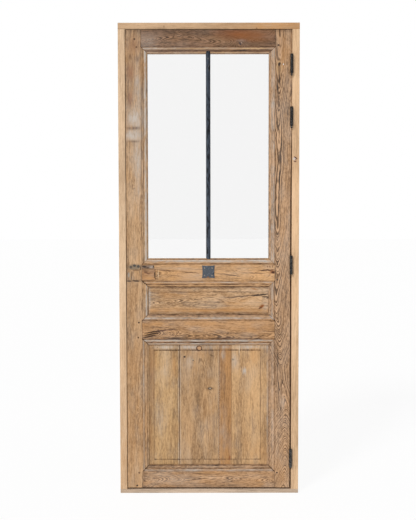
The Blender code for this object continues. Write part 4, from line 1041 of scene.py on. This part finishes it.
def rail_section(rail, number):
    """The ring at every row: its height, its depth, and how far the moulding reaches below and above."""
    left, right = SHOULDERS[0] + SEAT_FIT, SHOULDERS[1] - SEAT_FIT
    flat_low, flat_high = rail["low"] + MOULDING, rail["high"] - MOULDING
    gaps = sorted({0.0, *rail["gaps"].values()})
    mitres = [end + way * (gap + ACROSS_MOULDING) for gap in gaps for end, way in ((left, 1), (right, -1))]
    seats = rail.get("seats", ())
    seat_ends = [(seat[1], seat[1] + CRISP) for seat in seats]
    rows = lines(span(left, right, ROW_STEP), left + 0.5, right - 0.5, *mitres, *seat_ends)
    edges = []
    for edge, kind in zip(("low", "high"), rail["edges"]):
        start = left + rail["gaps"].get(("latch", edge), 0.0)
        stop = right - rail["gaps"].get(("hinge", edge), 0.0)
        reach = np.clip(np.minimum(rows - start, stop - rows), 0.0, MOULDING)
        edges.append((*rail_edge(reach, kind, number), reach))
    long = np.ones((len(rows), 1))
    cuts = ((seat[2], seat[2] - CRISP, seat[3], seat[3] + CRISP) for seat in seats)
    flat = lines(span(flat_low, flat_high, FLAT_STEP)[1:-1], flat_low + 0.5, flat_high - 0.5, *cuts) * long
    low_out, low_depth, low_wall, low_wall_depth, low_reach = edges[0]
    high_out, high_depth, high_wall, high_wall_depth, high_reach = edges[1]
    ends = flat_low - low_wall[:, -1:], flat_high + high_wall[:, -1:]
    back = ends[1] + (ends[0] - ends[1]) * np.linspace(0.02, 0.98, 10)[None, :]
    upright = [(flat_low - low_out)[:, ::-1], flat, flat_high + high_out, flat_high + high_wall, back]
    upright.append((flat_low - low_wall)[:, ::-1])
    depth = [low_depth[:, ::-1], 0 * flat, high_depth, high_wall_depth, np.full(back.shape, LEAF_THICKNESS)]
    depth.append(low_wall_depth[:, ::-1])
    return rows, np.concatenate(upright, axis=1), np.concatenate(depth, axis=1), low_reach, high_reach


print("rails between", SHOULDERS)

# %% Build the rails
for number, rail in enumerate(RAILS):
    rows, upright, depth, low_reach, high_reach = rail_section(rail, number)
    across = np.broadcast_to(rows[:, None], upright.shape)
    points = np.stack([across, LEAF_FRONT + depth, upright], axis=-1)
    front = depth < FRONT_DEPTH
    end = np.minimum(across - rows[0], rows[-1] - across)
    grain = raised_grain(points, 0, RAIL_SEEDS["grain"] + number)
    points[..., 1] += grain * (depth < GROOVE_FRONT) + front * arris(end, 0.5)
    for _, stop, seat_low, seat_high in rail.get("seats", ()):
        inside = (across < stop + TOUCH) & (upright > seat_low - TOUCH) & (upright < seat_high + TOUCH)
        points[..., 1] += PATCH_SEAT * (front & inside)
    attributes = old_wood(points, 0, rail, RAIL_SEEDS["rings"] + number)
    for edge, kind, reach in zip(("low", "high"), rail["edges"], (low_reach, high_reach)):
        out = rail["low"] + MOULDING - upright if edge == "low" else upright - rail["high"] + MOULDING
        if kind:
            reach = np.broadcast_to(reach[:, None], out.shape)
            title = f"{rail['node']} {edge}"
            tone = band_tone(out, BANDS[title], reach, points, RAIL_SEEDS["bands"] + number)
            tint(attributes, tone * (front & (out > -5.0)), title in WARM_BEADS)
    tint(attributes, -SHOULDER_DIRT * np.exp(-((end / SHOULDER_LINE) ** 2)))
    # Old oak, hand-planed and weathered: warm brown with level streaks and rings, darkest on the top rail.
    seed, node = OAK_SEEDS["rail"] + 5 * number, rail["node"]
    finish = oak("old_oak_" + node, 0, rail["body"], seed, rail["look"], rail["marks"])
    make_piece(node + "_oak", points, ring_faces(*points.shape[:2]), finish, "leaf", node, attributes)
print("rails", PIECES)

# %% [markdown]
# ## Panels
#
# A panel is a thin board that stands loose in its grooves, so that it can shrink. Its margins slope up to a
# raised field. The front of each board is a height over a grid: the slope grows with the distance from the
# nearest edge until the field begins, and there a small step marks the field's edge. Grid lines lie on both
# sides of that step, which keeps it sharp, and dirt has gathered along it.


# %% A board over a grid
def board_faces(columns, rows):
    """Faces of a slab with a grid in front and the same grid behind: front, back and the four edges."""
    grid = np.arange(columns * rows).reshape(rows, columns)
    quads = np.stack([grid[:-1, :-1], grid[:-1, 1:], grid[1:, 1:], grid[1:, :-1]], axis=-1).reshape(-1, 4)
    behind = grid + columns * rows
    rim = np.concatenate([grid[0, :-1], grid[:-1, -1], grid[-1, :0:-1], grid[:0:-1, 0]])
    rim_behind = np.concatenate([behind[0, :-1], behind[:-1, -1], behind[-1, :0:-1], behind[:0:-1, 0]])
    edge = np.stack([rim, np.roll(rim, -1), np.roll(rim_behind, -1), rim_behind], axis=-1)
    return quads.tolist() + (quads[:, ::-1] + columns * rows).tolist() + edge.tolist()


def board(name, node, across, upright, front, back, finish, attributes_of):
    """A slab whose front is a height over the grid, front(x, z) in mm of depth, and whose back is flat."""
    x, z = np.meshgrid(across, upright)
    front_points = np.stack([x, LEAF_FRONT + front(x, z), z], axis=-1)
    back_points = np.stack([x, np.full(x.shape, LEAF_FRONT + back), z], axis=-1)
    points = np.stack([front_points, back_points])
    faces = board_faces(len(across), len(upright))
    return make_piece(name, points, faces, finish, "leaf", node, attributes_of(points))


print("a board of 3 by 3 points has", len(board_faces(3, 3)), "faces")

# %% What the panels look like
TONGUE = 8.0
FIELD_RISE, FIELD_STEP, STEP_WIDTH = 2.5, 1.5, 0.5
PANEL_BACK = 23.7
SIGHTS = (-302.0, 295.5)
BOARD_JOINTS = (-148.5, 50.0, 111.5)
# Lower boards: the pale band at 734 is painted highlight on the top slope, the stain at 744 painted shadow.
BOARDS = (
    {
        "node": "panel_small", "step_dirt": (0.15, 0.1, 0.35, 0.3), "x": SIGHTS, "z": OPENINGS[1],
        "margins": (32, 32, 26, 26), "along": 0, "look": OLD, "body": "BC9872",
        "path": ((-310, 950, 20, 0), (-60, 975, 16, 40), (120, 960, 20, 50), (305, 975, 24, 30)),
        "knots": ((200, 940, 6), (-120, 985, 6)),
        "bleach": ((-298, 975, 7, 60, 0.6), (280, 940, 20, 40, 0.3)),
        # The stains at 1032 and 904 are painted shade, under the upper moulding and on the lower slope.
        "stain": ((0, 1032, 400, 7, 0.5), (0, 1010, 400, 1.8, 0.4), (0, 904, 400, 11, 0.45)),
        "warmth": ((0, 918, 400, 12, 0.8), (150, 960, 120, 30, 0.4), (-150, 1000, 120, 20, 0.3)),
        "marks": (
            (224, 1024, 30, 6, 8, 0.9, "A06A38"), (262, 938, 21, 11, -35, 0.6, "8C5226"),
            (254, 930, 10, 3.6, -20, 0.4, "5C3A22"), (150, 987, 100, 4, -4, 0.4, "715843"),
            (250, 995, 56, 5.5, -4, 0.35, "46362A"), (284, 985, 26, 4.4, 6, 0.4, "5A4636"),
        ),
    },
    {
        "node": "panel_lower_board_1", "x": (SIGHTS[0], BOARD_JOINTS[0]), "margins": (27, 0, 28, 27),
        "joint_dirt": (1,), "body": "BC976A",
        "path": ((130, -330, 60, 0), (400, -320, 55, 12), (750, -330, 60, 22)),
        "knots": ((-195, 520, 8),),
        "bleach": ((-215, 734, 60, 9, 0.65), (-215, 650, 30, 80, 0.25), (-250, 400, 30, 120, 0.15)),
        "stain": ((-294, 450, 14, 400, 0.4), (-220, 744, 200, 3, 0.3), (-276, 450, 3, 400, 0.15)),
        "warmth": ((-290, 450, 14, 400, 0.35), (-280, 640, 20, 100, 0.4), (-176, 640, 10, 60, 0.4)),
        "marks": ((-281, 730, 6, 5, 0, 0.5, "8E7254"), (-258, 732, 2.6, 4, 0, 0.6, "7A5A40")),
    },
    {
        "node": "panel_lower_board_2", "x": (BOARD_JOINTS[0], BOARD_JOINTS[1]), "margins": (0, 0, 28, 27),
        "joint_dirt": (1, 0.45), "body": "B38F68",
        "path": ((130, -30, 60, 0), (330, -20, 50, 20), (520, -16, 40, 34), (727, -49, 50, 44)),
        "knots": ((-49, 727, 10), (4, 526, 11)),
        "bleach": (
            (-100, 734, 54, 9, 0.7), (10, 734, 30, 8, 0.4), (-40, 300, 60, 90, 0.15), (-100, 660, 20, 30, 0.3),
        ),
        "stain": ((-45, 744, 200, 3, 0.2), (-147, 720, 5, 50, 0.4), (4, 526, 16, 10, 0.3)),
        "warmth": ((-60, 700, 40, 16, 0.4), (10, 400, 30, 160, 0.2)),
        "marks": (
            (-49.6, 728, 17.2, 15.8, 0, 0.18, "523A2A"), (-49.6, 728.5, 11.6, 10.6, 0, 0.3, "BC9068"),
            (-123, 685.5, 6, 6.4, 0, 0.5, "382E28"), (-81, 670, 6.5, 5.5, 0, 0.4, "D2BC9E"),
            (-81, 669, 5.4, 4.8, 0, 0.5, "4E3E32"), (11.6, 692, 15, 6, 20, 0.7, "6E5238"),
            (3.9, 526, 24, 11, 0, 0.7, "80603F"), (3.9, 526, 13, 6.5, 0, 0.5, "46403C"),
            (4.5, 526.5, 5.5, 3.6, 0, 0.6, "B09A80"),
        ),
    },
    {
        "node": "panel_lower_board_3", "x": (BOARD_JOINTS[1], BOARD_JOINTS[2]), "margins": (0, 0, 28, 27),
        "joint_dirt": (0.45, 0.15), "body": "A97D50",
        "path": ((130, 140, 30, 0), (400, 130, 34, 30), (660, 125, 30, 70), (750, 135, 30, 80)),
        "least": 0.5,
        "bleach": ((80, 734, 30, 8, 0.5), (70, 700, 10, 24, 0.6), (72, 300, 14, 120, 0.15)),
        "stain": ((75, 744, 60, 3, 0.2), (108, 640, 8, 90, 0.2), (100, 200, 8, 60, 0.2)),
        "warmth": ((90, 650, 20, 60, 0.4), (96, 200, 14, 80, 0.4)),
        "marks": ((102, 176, 6, 14, 0, 0.5, "8C5A34"),),
    },
    {
        "node": "panel_lower_board_4", "x": (BOARD_JOINTS[2], SIGHTS[1]), "margins": (0, 40, 28, 27),
        "joint_dirt": (0.15,), "body": "C29B6F",
        "path": ((130, 330, 60, 0), (400, 320, 55, 16), (750, 335, 60, 30)),
        "knots": ((190, 300, 6),),
        "bleach": (
            (210, 734, 80, 9, 0.6), (128, 660, 22, 40, 0.5), (176, 614, 9, 16, 0.7), (292.5, 450, 5, 400, 0.5),
        ),
        "stain": ((220, 744, 120, 3, 0.15), (296, 450, 2, 400, 0.3), (220, 134, 120, 4, 0.3)),
        "warmth": ((220, 670, 50, 60, 0.25), (240, 200, 60, 50, 0.25)),
        "marks": (
            (118.5, 671.5, 5.5, 7, 0, 0.7, "6C655E"), (149.5, 699, 2.4, 16, -8, 0.7, "5E4632"),
            (160, 631, 3, 4, 0, 0.6, "74665A"), (258, 692, 3, 8, 0, 0.5, "9A7450"),
            (150, 727, 50, 2.6, 90, 0.5, "D3BA9C"),
        ),
    },
)


# %% The shape of a board
BOARD_SEEDS = {"grain": 110, "rings": 120, "dirt": 230}
STEP_DIRT = (0.4, 0.7, 0.9, 1.3)
JOINT_GAP = 0.15


def shape_of(panel, number):
    """The grid lines of a board, its front as a function, and how its attributes follow from its points."""
    along = panel.get("along", 2)
    insets = [margin + TONGUE if margin else 0.0 for margin in panel["margins"]]
    taper = FIELD_RISE / min(margin for margin in panel["margins"] if margin) * TONGUE
    start = panel["x"][0] - (TONGUE if insets[0] else -JOINT_GAP)
    stop = panel["x"][1] + (TONGUE if insets[1] else -JOINT_GAP)
    opening = panel.get("z", OPENINGS[0])
    low, high = opening[0] - TONGUE, opening[1] + TONGUE
    rise, base = FIELD_RISE + taper, GROOVE_FRONT + SEAT_FIT + taper
    amounts = panel.get("step_dirt", STEP_DIRT)
    step_dirt = [amount for amount, margin in zip(amounts, panel["margins"]) if margin]

    def away_from_edges(x, z):
        """Each shaped edge's inset with the distance from it, and the distances from the plain joints."""
        every = list(zip(insets, (x - start, stop - x, z - low, high - z)))
        return [pair for pair in every if pair[0]], [away for inset, away in every if not inset]

    def fielded(x, z):
        """Depth of the front: the base, less the rise by share of the way to the field, less its step."""
        shaped, joints = away_from_edges(x, z)
        share = np.minimum.reduce([away / inset for inset, away in shaped] + [np.ones_like(x)])
        past = np.minimum.reduce([away - inset for inset, away in shaped])
        uneven = raised_grain(np.stack([x, x * 0, z], axis=-1), along, BOARD_SEEDS["grain"] + number, 0.8)
        eased = sum(0.9 * np.exp(-((away / 0.9) ** 2)) for away in joints)
        return base - rise * share - FIELD_STEP * np.clip(past / STEP_WIDTH, 0, 1) + uneven + eased

    def old_board(points):
        """Weather and rings, with dirt in the joints beside a neighbour and just outside the field's step."""
        attributes = old_wood(points, along, panel, BOARD_SEEDS["rings"] + number)
        shaped, joints = away_from_edges(points[..., 0], points[..., 2])
        uneven = 0.85 + 0.5 * noise(points, 40.0, BOARD_SEEDS["dirt"] + number)
        for side, (inset, away) in enumerate(shaped):
            others = [other - own for place, (own, other) in enumerate(shaped) if place != side]
            inside = np.minimum.reduce(others) > -1.5
            dirt = step_dirt[side] * np.exp(-(((away - inset + 0.8) / 2.0) ** 2))
            tint(attributes, -dirt * uneven * inside)
        for away, dirt in zip(joints, panel.get("joint_dirt", ())):
            bare = 0.4 * np.exp(-(((away - 4.5) / 2.0) ** 2)) * uneven
            tint(attributes, dirt * (bare - 0.9 * np.exp(-((away / 1.3) ** 2))))
        return attributes

    steps = []
    for inset, edge, way in zip(insets, (start, stop, low, high), (1, -1, 1, -1)):
        step = np.array((inset, inset + STEP_WIDTH, inset - 3.0, inset + 3.0) if inset else (0.5, 1.5, 3.0))
        steps.append(edge + way * step)
    across = lines(span(start, stop, FLAT_STEP), *steps[:2])
    return across, lines(span(low, high, ROW_STEP), *steps[2:]), fielded, old_board


print("a field stands", FIELD_RISE + FIELD_STEP, "mm over the foot of its slope")

# %% Build the panels
for number, panel in enumerate(BOARDS):
    across, upright, fielded, old_board = shape_of(panel, number)
    along, look = panel.get("along", 2), panel.get("look", BOARD)
    # Old oak boards, hand-planed thin: calmer and paler than the frame of the leaf, each board of its own tone.
    seed, node = OAK_SEEDS["board"] + 5 * number, panel["node"]
    finish = oak("old_oak_" + node, along, panel["body"], seed, look, panel["marks"])
    board(node + "_oak", node, across, upright, fielded, PANEL_BACK, finish, old_board)
print("panels", PIECES)

# %% [markdown]
# ## Patches
#
# A lock was once let into this door. Two flat pieces of oak and a dark sliver fill its place. They are boards
# again, only small, and they stand half a millimetre below the face round them.

# %% Patches
PATCH_SEEDS = {"grain": 130, "rings": 140}
PATCH_BACK = 8.0
RIM_STEPS = (0.4, 1.2)
PATCHES = (
    {
        "node": "patch_stile", "along": 2, "body": "B48D64",
        "path": ((1060, -386, 20, 0), (1130, -386, 20, 0)),
        "warmth": ((-352, 1085, 20, 20, 0.3),),
        "marks": ((-382, 1100, 5, 20, 0, 0.7, "86694C"), (-360, 1118, 22, 4, 0, 0.5, "8A6A4C")),
    },
    {
        "node": "patch_rail", "along": 0, "body": "A87C54",
        "path": ((-340, 1060, 12, 0), (-260, 1075, 12, 20)),
        "warmth": ((-297, 1080, 26, 12, 0.8),),
        "stain": ((-313, 1113, 12, 8, 0.4), (-290, 1105, 14, 5, 0.25)),
        "marks": (
            (-268.5, 1094, 4.6, 22, 0, 0.3, "46301F"), (-310, 1106, 16, 4.5, 25, 0.5, "74503A"),
            (-302, 1121, 30, 2.2, 0, 0.5, "9C7A58"),
        ),
    },
    {
        "node": "patch_rail_sliver", "along": 0, "body": "7E6450",
        "path": ((-340, 1130, 10, 0), (-260, 1140, 10, 10)),
        "bleach": ((-285, 1136, 12, 8, 0.5),),
        "marks": (
            (-320, 1136, 14, 6, 0, 0.4, "40322A"), (-303, 1134, 9, 4, 0, 0.7, "5C4636"),
            (-274, 1137, 6, 6, 0, 0.4, "443629"),
        ),
    },
)
for number, patch in enumerate(PATCHES):
    low, high = sides_of(patch["node"])

    def from_rim(x, z):
        """Distance from the nearest edge of the patch."""
        return np.minimum(np.minimum(x - low[0], high[0] - x), np.minimum(z - low[2], high[2] - z))

    def patch_front(x, z):
        """Half a millimetre down, with eased edges and a slightly uneven face."""
        uneven = 0.25 * noise(np.stack([x, z * 0, z], -1), 9.0, PATCH_SEEDS["grain"] + number)
        return 0.5 + arris(from_rim(x, z), 0.7) + uneven

    def patch_wood(points):
        """Rings and weather, with dirt at the rim."""
        attributes = old_wood(points, patch["along"], patch, PATCH_SEEDS["rings"] + number)
        tint(attributes, -0.6 * np.exp(-((from_rim(points[..., 0], points[..., 2]) / 1.2) ** 2)))
        return attributes

    across, upright = (
        lines(span(low[axis], high[axis], 3.0), *((low[axis] + step, high[axis] - step) for step in RIM_STEPS))
        for axis in (0, 2)
    )
    # Sawn oak let in flat as a repair: plainer figure than its neighbours, with dirt round its rim.
    seed, node = OAK_SEEDS["patch"] + 5 * number, patch["node"]
    finish = oak("old_oak_" + node, patch["along"], patch["body"], seed, marks=patch["marks"])
    board(node + "_oak", node, across, upright, patch_front, PATCH_BACK, finish, patch_wood)
print("patches", PIECES)

# %% [markdown]
# ## Iron and glass
#
# The bar is half-round iron, near black, with a blue-grey gleam where hands have thinned its paint. The hinges
# have a newer black finish. Both are lathe forms, a radius for each height. The glass keeps its solid, because
# a flat pane needs nothing but clear glass.

# %% Iron finishes
IRON_GRIT = 0.3
PATCHES_A_METRE, GRITS_A_METRE = 160.0, 420.0
IRON_GLOSS = 0.3


def worn_black(name, coat, bare, roughness, wear, seed, marks=(), stretch=1.0):
    """Black-finished iron. The coat gives way to bare metal in patches 6 mm wide, stretched upright."""
    material, tree, shader = new_material(name)
    place = add(tree, "TexCoord").outputs["Object"]
    scale = (PATCHES_A_METRE, PATCHES_A_METRE, PATCHES_A_METRE / stretch)
    drawn = add(tree, "Mapping", None, {"Vector": place, "Scale": scale}).outputs[0]
    inputs = {"Vector": drawn, "W": seed, "Scale": 1.0, "Detail": 4.0}
    patches = add(tree, "TexNoise", {"noise_dimensions": "4D"}, inputs).outputs["Fac"]
    inputs = {"Value": patches, "From Min": 0.62 - wear, "From Max": 0.72 - wear, "To Max": 0.85}
    worn = add(tree, "MapRange", None, inputs).outputs[0]
    colour = add(tree, "Mix", {"data_type": "RGBA"}, {0: worn, 6: linear(coat), 7: linear(bare)}).outputs[2]
    tree.links.new(marked(tree, colour, place, marks), shader.inputs["Base Color"])
    tree.links.new(worn, shader.inputs["Metallic"])
    grit = add(tree, "TexNoise", None, {"Vector": place, "Scale": GRITS_A_METRE, "Detail": 3.0})
    relief = {"Height": grit.outputs["Fac"], "Strength": 0.3, "Distance": IRON_GRIT * MM}
    bump = add(tree, "Bump", None, relief)
    tree.links.new(bump.outputs["Normal"], shader.inputs["Normal"])
    shader.inputs["Roughness"].default_value = roughness
    shader.inputs["Specular IOR Level"].default_value = IRON_GLOSS
    return material


PLATE_MARKS = (
    (-5, 1085, 5, 5.5, 0, 0.5, "7A5238"), (-14, 1140, 12, 2, 92, 0.5, "6E7680"),
    (20, 1100, 4, 9, 20, 0.5, "39404A"),
)
BAR_MARKS = (
    (-3, 2157, 3.5, 3.5, 0, 0.4, "A79C90"), (-1, 2120, 2.5, 5, 0, 0.4, "8E8A88"),
    (1, 2100, 3.5, 4, 0, 0.4, "A79C90"), (2, 2112, 4, 24, 0, 0.6, "0A0A0C"),
)
# Wrought iron, painted black and thinned by hands: near black with a blue-grey gleam down its middle.
bar_iron = worn_black("rubbed_black_iron_bar", "14161B", "5E6876", 0.35, 0.205, 3.0, BAR_MARKS, 4.0)
# Forged iron sheet, waxed: an even blue-grey, dull, with one rust spot.
plate_iron = worn_black("forged_iron_plate", "4C5158", "70767E", 0.5, 0.1, 5.0, PLATE_MARKS)
# Hammered nail iron, rubbed clean: a lighter warm grey against the plate.
nail_iron = worn_black("hammered_nail_iron", "8A8078", "A89C90", 0.5, 0.1, 9.0)
# Turned steel with a factory black: nearly black all over, a narrow gleam down each barrel.
hinge_black = worn_black("black_hinge_finish", "0E0D0E", "5A5856", 0.38, 0.18, 7.0)
print("iron finishes", bar_iron.name, plate_iron.name, nail_iron.name, hinge_black.name)

# %% Glass
# Float glass: clear and smooth, so it is seen only by its faint reflection and a slight loss of light.
pane_glass, _, pane_shader = new_material("clear_window_glass")
pane_shader.inputs["Base Color"].default_value = linear("F8F8F8")
pane_shader.inputs["Roughness"].default_value = 0.0
pane_shader.inputs["IOR"].default_value = 1.5
pane_shader.inputs["Transmission Weight"].default_value = 1.0
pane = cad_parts["glass_pane"]
pane.data.materials.clear()
pane.data.materials.append(pane_glass)
print("glass on", pane.name)


# %% Turned pieces
def turned(profile, centre, sides=40, start=0.0, stop=math.tau):
    """Turn (height, radius) pairs round a centre: x = cx + r cos a, y = cy + r sin a, z = the height."""
    profile = np.asarray(profile, dtype=float)
    closed = stop - start > math.tau - 0.01
    angles = np.linspace(start, stop, sides, endpoint=not closed)
    height, radius = profile[:, 0][:, None], profile[:, 1][:, None]
    x = centre[0] + radius * np.cos(angles)
    y = centre[1] + radius * np.sin(angles)
    return np.stack([x, y, np.broadcast_to(height, x.shape)], axis=-1)


# %% The bar
low, high = sides_of("glazing_bar")
bar_radius = (high[0] - low[0]) / 2
bar_middle = (high[0] + low[0]) / 2
heights = lines(span(low[2], high[2], 6.0), low[2] + 1.0, low[2] + 2.5)
foot = 1 - 0.35 * np.clip((low[2] + 4.0 - heights) / 4.0, 0, 1) ** 2
bar_places = np.stack([heights * 0, heights * 0, heights], axis=-1)
swell = bar_radius * foot * (1 + 0.012 * noise(bar_places, 70.0, 5))
rod = turned(np.stack([heights, swell], axis=-1), (bar_middle, high[1]), 33, math.pi, math.tau)
rod[..., 1] += 0.2 * noise(rod, 9.0, 6)
rod[..., 1] = np.minimum(rod[..., 1], high[1])
make_piece("bar", rod, ring_faces(*rod.shape[:2]), bar_iron, "leaf", "glazing_bar", sharp=50.0)
print("bar radius", round(float(bar_radius), 1))

# %% [markdown]
# The plate is a square of sheet iron whose sides draw in a little. It is laid out as nested squares, so that
# its face can be uneven while its rim stays crisp. The four nails have flat heads with a slightly lobed rim.

# %% The plate
low, high = sides_of("iron_plate")
plate_middle = ((low[0] + high[0]) / 2, (low[2] + high[2]) / 2)
plate_half = (high[0] - low[0]) / 2
BOW = 2.2
RINGS = np.array([0.0, 0.2, 0.4, 0.6, 0.8, 0.93, 0.985, 1.0, 1.0, 0.0])


def plate_points(around):
    """A square whose sides draw in by the bow at their middle, laid out as nested squares round its centre."""
    along_side = np.linspace(-1, 1, around, endpoint=False)
    quarter = np.stack([1 - BOW / plate_half * (1 - along_side**2), along_side], axis=-1)
    outline = []
    for angle in np.arange(4) * math.pi / 2:
        cosine, sine = math.cos(angle), math.sin(angle)
        outline.append(quarter @ np.array([[cosine, sine], [-sine, cosine]]))
    outline = np.concatenate(outline) * plate_half
    return outline[None, :, :] * RINGS[:, None, None]


flat_points = plate_points(16)
plate = np.zeros((*flat_points.shape[:2], 3))
plate[..., 0] = plate_middle[0] + flat_points[..., 0]
plate[..., 2] = plate_middle[1] + flat_points[..., 1]
lift = np.array([0.0, 0.0, 0.0, 0.0, 0.0, 0.1, 0.5, 1.1, high[1] - low[1], high[1] - low[1]])
plate[..., 1] = low[1] + lift[:, None]
plate[..., 1] += 0.35 * noise(plate, 8.0, 8) * (lift < 1.0)[:, None] + 0.2
plate[-2:, :, 1] = high[1]
make_piece("plate", plate, ring_faces(*plate.shape[:2]), plate_iron, "leaf", "iron_plate", sharp=40.0)
print("plate half width", round(float(plate_half), 1))

# %% The nails
HEAD_PROFILE = ((0.0, 0.0), (0.1, 0.35), (0.5, 0.7), (0.9, 0.92), (1.4, 1.0), (1.6, 0.97), (1.65, 0.38))
for number in range(1, 5):
    low, high = sides_of(f"plate_nail_{number}")
    centre = (low + high) / 2
    across = (high[0] - low[0]) / 2
    long = high[1] - low[1]
    profile = np.array([*HEAD_PROFILE, (long - 0.2, 0.34), (long, 0.0)])
    angles = np.arange(18) * math.tau / 18
    radius = profile[:, 1][:, None] * across * (1 + 0.08 * np.sin(3 * angles + number))
    deep = np.broadcast_to(low[1] + profile[:, 0][:, None], radius.shape)
    nail = np.stack([centre[0] + radius * np.cos(angles), deep, centre[2] + radius * np.sin(angles)], axis=-1)
    make_piece(f"nail_{number}", nail, ring_faces(*nail.shape[:2]), nail_iron, "leaf", f"plate_nail_{number}")
print("iron", PIECES)

# %% [markdown]
# ## Hinges
#
# Four lift-off hinges carry the leaf. The lower knuckle is fixed to the jamb and holds the pin, and the upper
# knuckle drops over it with the leaf. Two of the pins still end in a small round tip.

# %% The form of a hinge
KNUCKLE = 7.6
EASED = 1.2
TIP_RADIUS, TIP_HEIGHT = 4.8, 12.5
TIPPED_HINGES = 2
AXIS = (405.5, -41.1)
PLATE_EDGES = {"frame": (408.8, 411.5), "leaf": (399.5, 402.2)}
PLATE_FRONT, PLATE_REAR = -37.0, -2.5


def knuckle_of(bottom, top, tipped):
    """(height, radius) of a knuckle from the top down: a cylinder with eased rims, and a round tip below."""
    rim = KNUCKLE - EASED
    knuckle = [(top, 0.0), (top, rim - 0.3), (top - 0.25, rim + 0.4), (top - EASED, KNUCKLE)]
    knuckle += [(value, KNUCKLE) for value in span(top - 2 * EASED, bottom + 2 * EASED, 6.0)]
    knuckle += [(bottom + EASED, KNUCKLE), (bottom + 0.25, rim + 0.4), (bottom, rim - 0.3)]
    if not tipped:
        return knuckle + [(bottom, 0.0)]
    neck = TIP_RADIUS * 0.75
    ball = TIP_HEIGHT - TIP_RADIUS
    knuckle += [(bottom, neck), (bottom - ball * 0.35, neck), (bottom - ball * 0.65, TIP_RADIUS * 0.97)]
    rounded = np.linspace(0.0, 1.0, 7) * math.pi / 2
    return knuckle + [(bottom - ball - TIP_RADIUS * math.sin(a), TIP_RADIUS * math.cos(a)) for a in rounded]


def slab(low, high):
    """Points and faces of a plain slab between two corners, for a hinge's plate."""
    corners = np.array([np.where(corner, high, low) for corner in np.ndindex(2, 2, 2)])
    return corners, [(0, 1, 3, 2), (4, 6, 7, 5), (0, 4, 5, 1), (2, 3, 7, 6), (0, 2, 6, 4), (1, 5, 7, 3)]


print("hinge axis", AXIS)

# %% Build the hinges
for number in range(1, 5):
    for half, body in (("jamb_half", "frame"), ("leaf_half", "leaf")):
        node = f"hinge_{number}_{half}"
        low, high = sides_of(node)
        tipped = half == "jamb_half" and number <= TIPPED_HINGES
        bottom = low[2] + (TIP_HEIGHT if tipped else 0.0)
        top = high[2] if half == "leaf_half" else sides_of(f"hinge_{number}_leaf_half")[0][2] - 0.5
        barrel = turned(knuckle_of(bottom, top, tipped), AXIS)
        left, right = PLATE_EDGES[body]
        corners, plate_faces = slab((left, PLATE_FRONT, bottom), (right, PLATE_REAR, top))
        shift = barrel.shape[0] * barrel.shape[1]
        faces = ring_faces(*barrel.shape[:2])
        faces += [tuple(corner + shift for corner in face) for face in plate_faces]
        points = np.concatenate([barrel.reshape(-1, 3), corners])
        make_piece(f"hinge_{number}_{half}_black", points, faces, hinge_black, body, node, sharp=30.0)
print("hinges", PIECES)

# %% [markdown]
# ## Glazing beads and pegs
#
# The beads behind the glass and the pegs are right as they are, so they keep their solids and only get their
# oak. A peg shows its end grain, almost black with age.

# %% Beads and pegs
# Old oak beads cut from the same wood as the leaf, and peg ends, whose end grain is almost black with age.
BEAD_OAKS = {}
for axis, title in ((0, "level"), (2, "upright")):
    BEAD_OAKS[axis] = oak(f"old_oak_bead_{title}", axis, "B6926E", OAK_SEEDS["bead"] + axis)
PEG_OAK = oak("old_oak_peg_end", 1, "4C3A2E", OAK_SEEDS["peg"])
for node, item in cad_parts.items():
    if node.startswith(("glazing_bead", "peg_")):
        item.data.materials.clear()
        level = node.endswith(("top", "bottom"))
        item.data.materials.append(PEG_OAK if node.startswith("peg_") else BEAD_OAKS[0 if level else 2])
print("bead and peg oaks", [*(finish.name for finish in BEAD_OAKS.values()), PEG_OAK.name])

# %% [markdown]
# ## Measure and finish
#
# The new pieces and their faces are counted.

# %% Measure and finish
print("pieces", len(PIECES), "faces", sum(PIECES.values()))
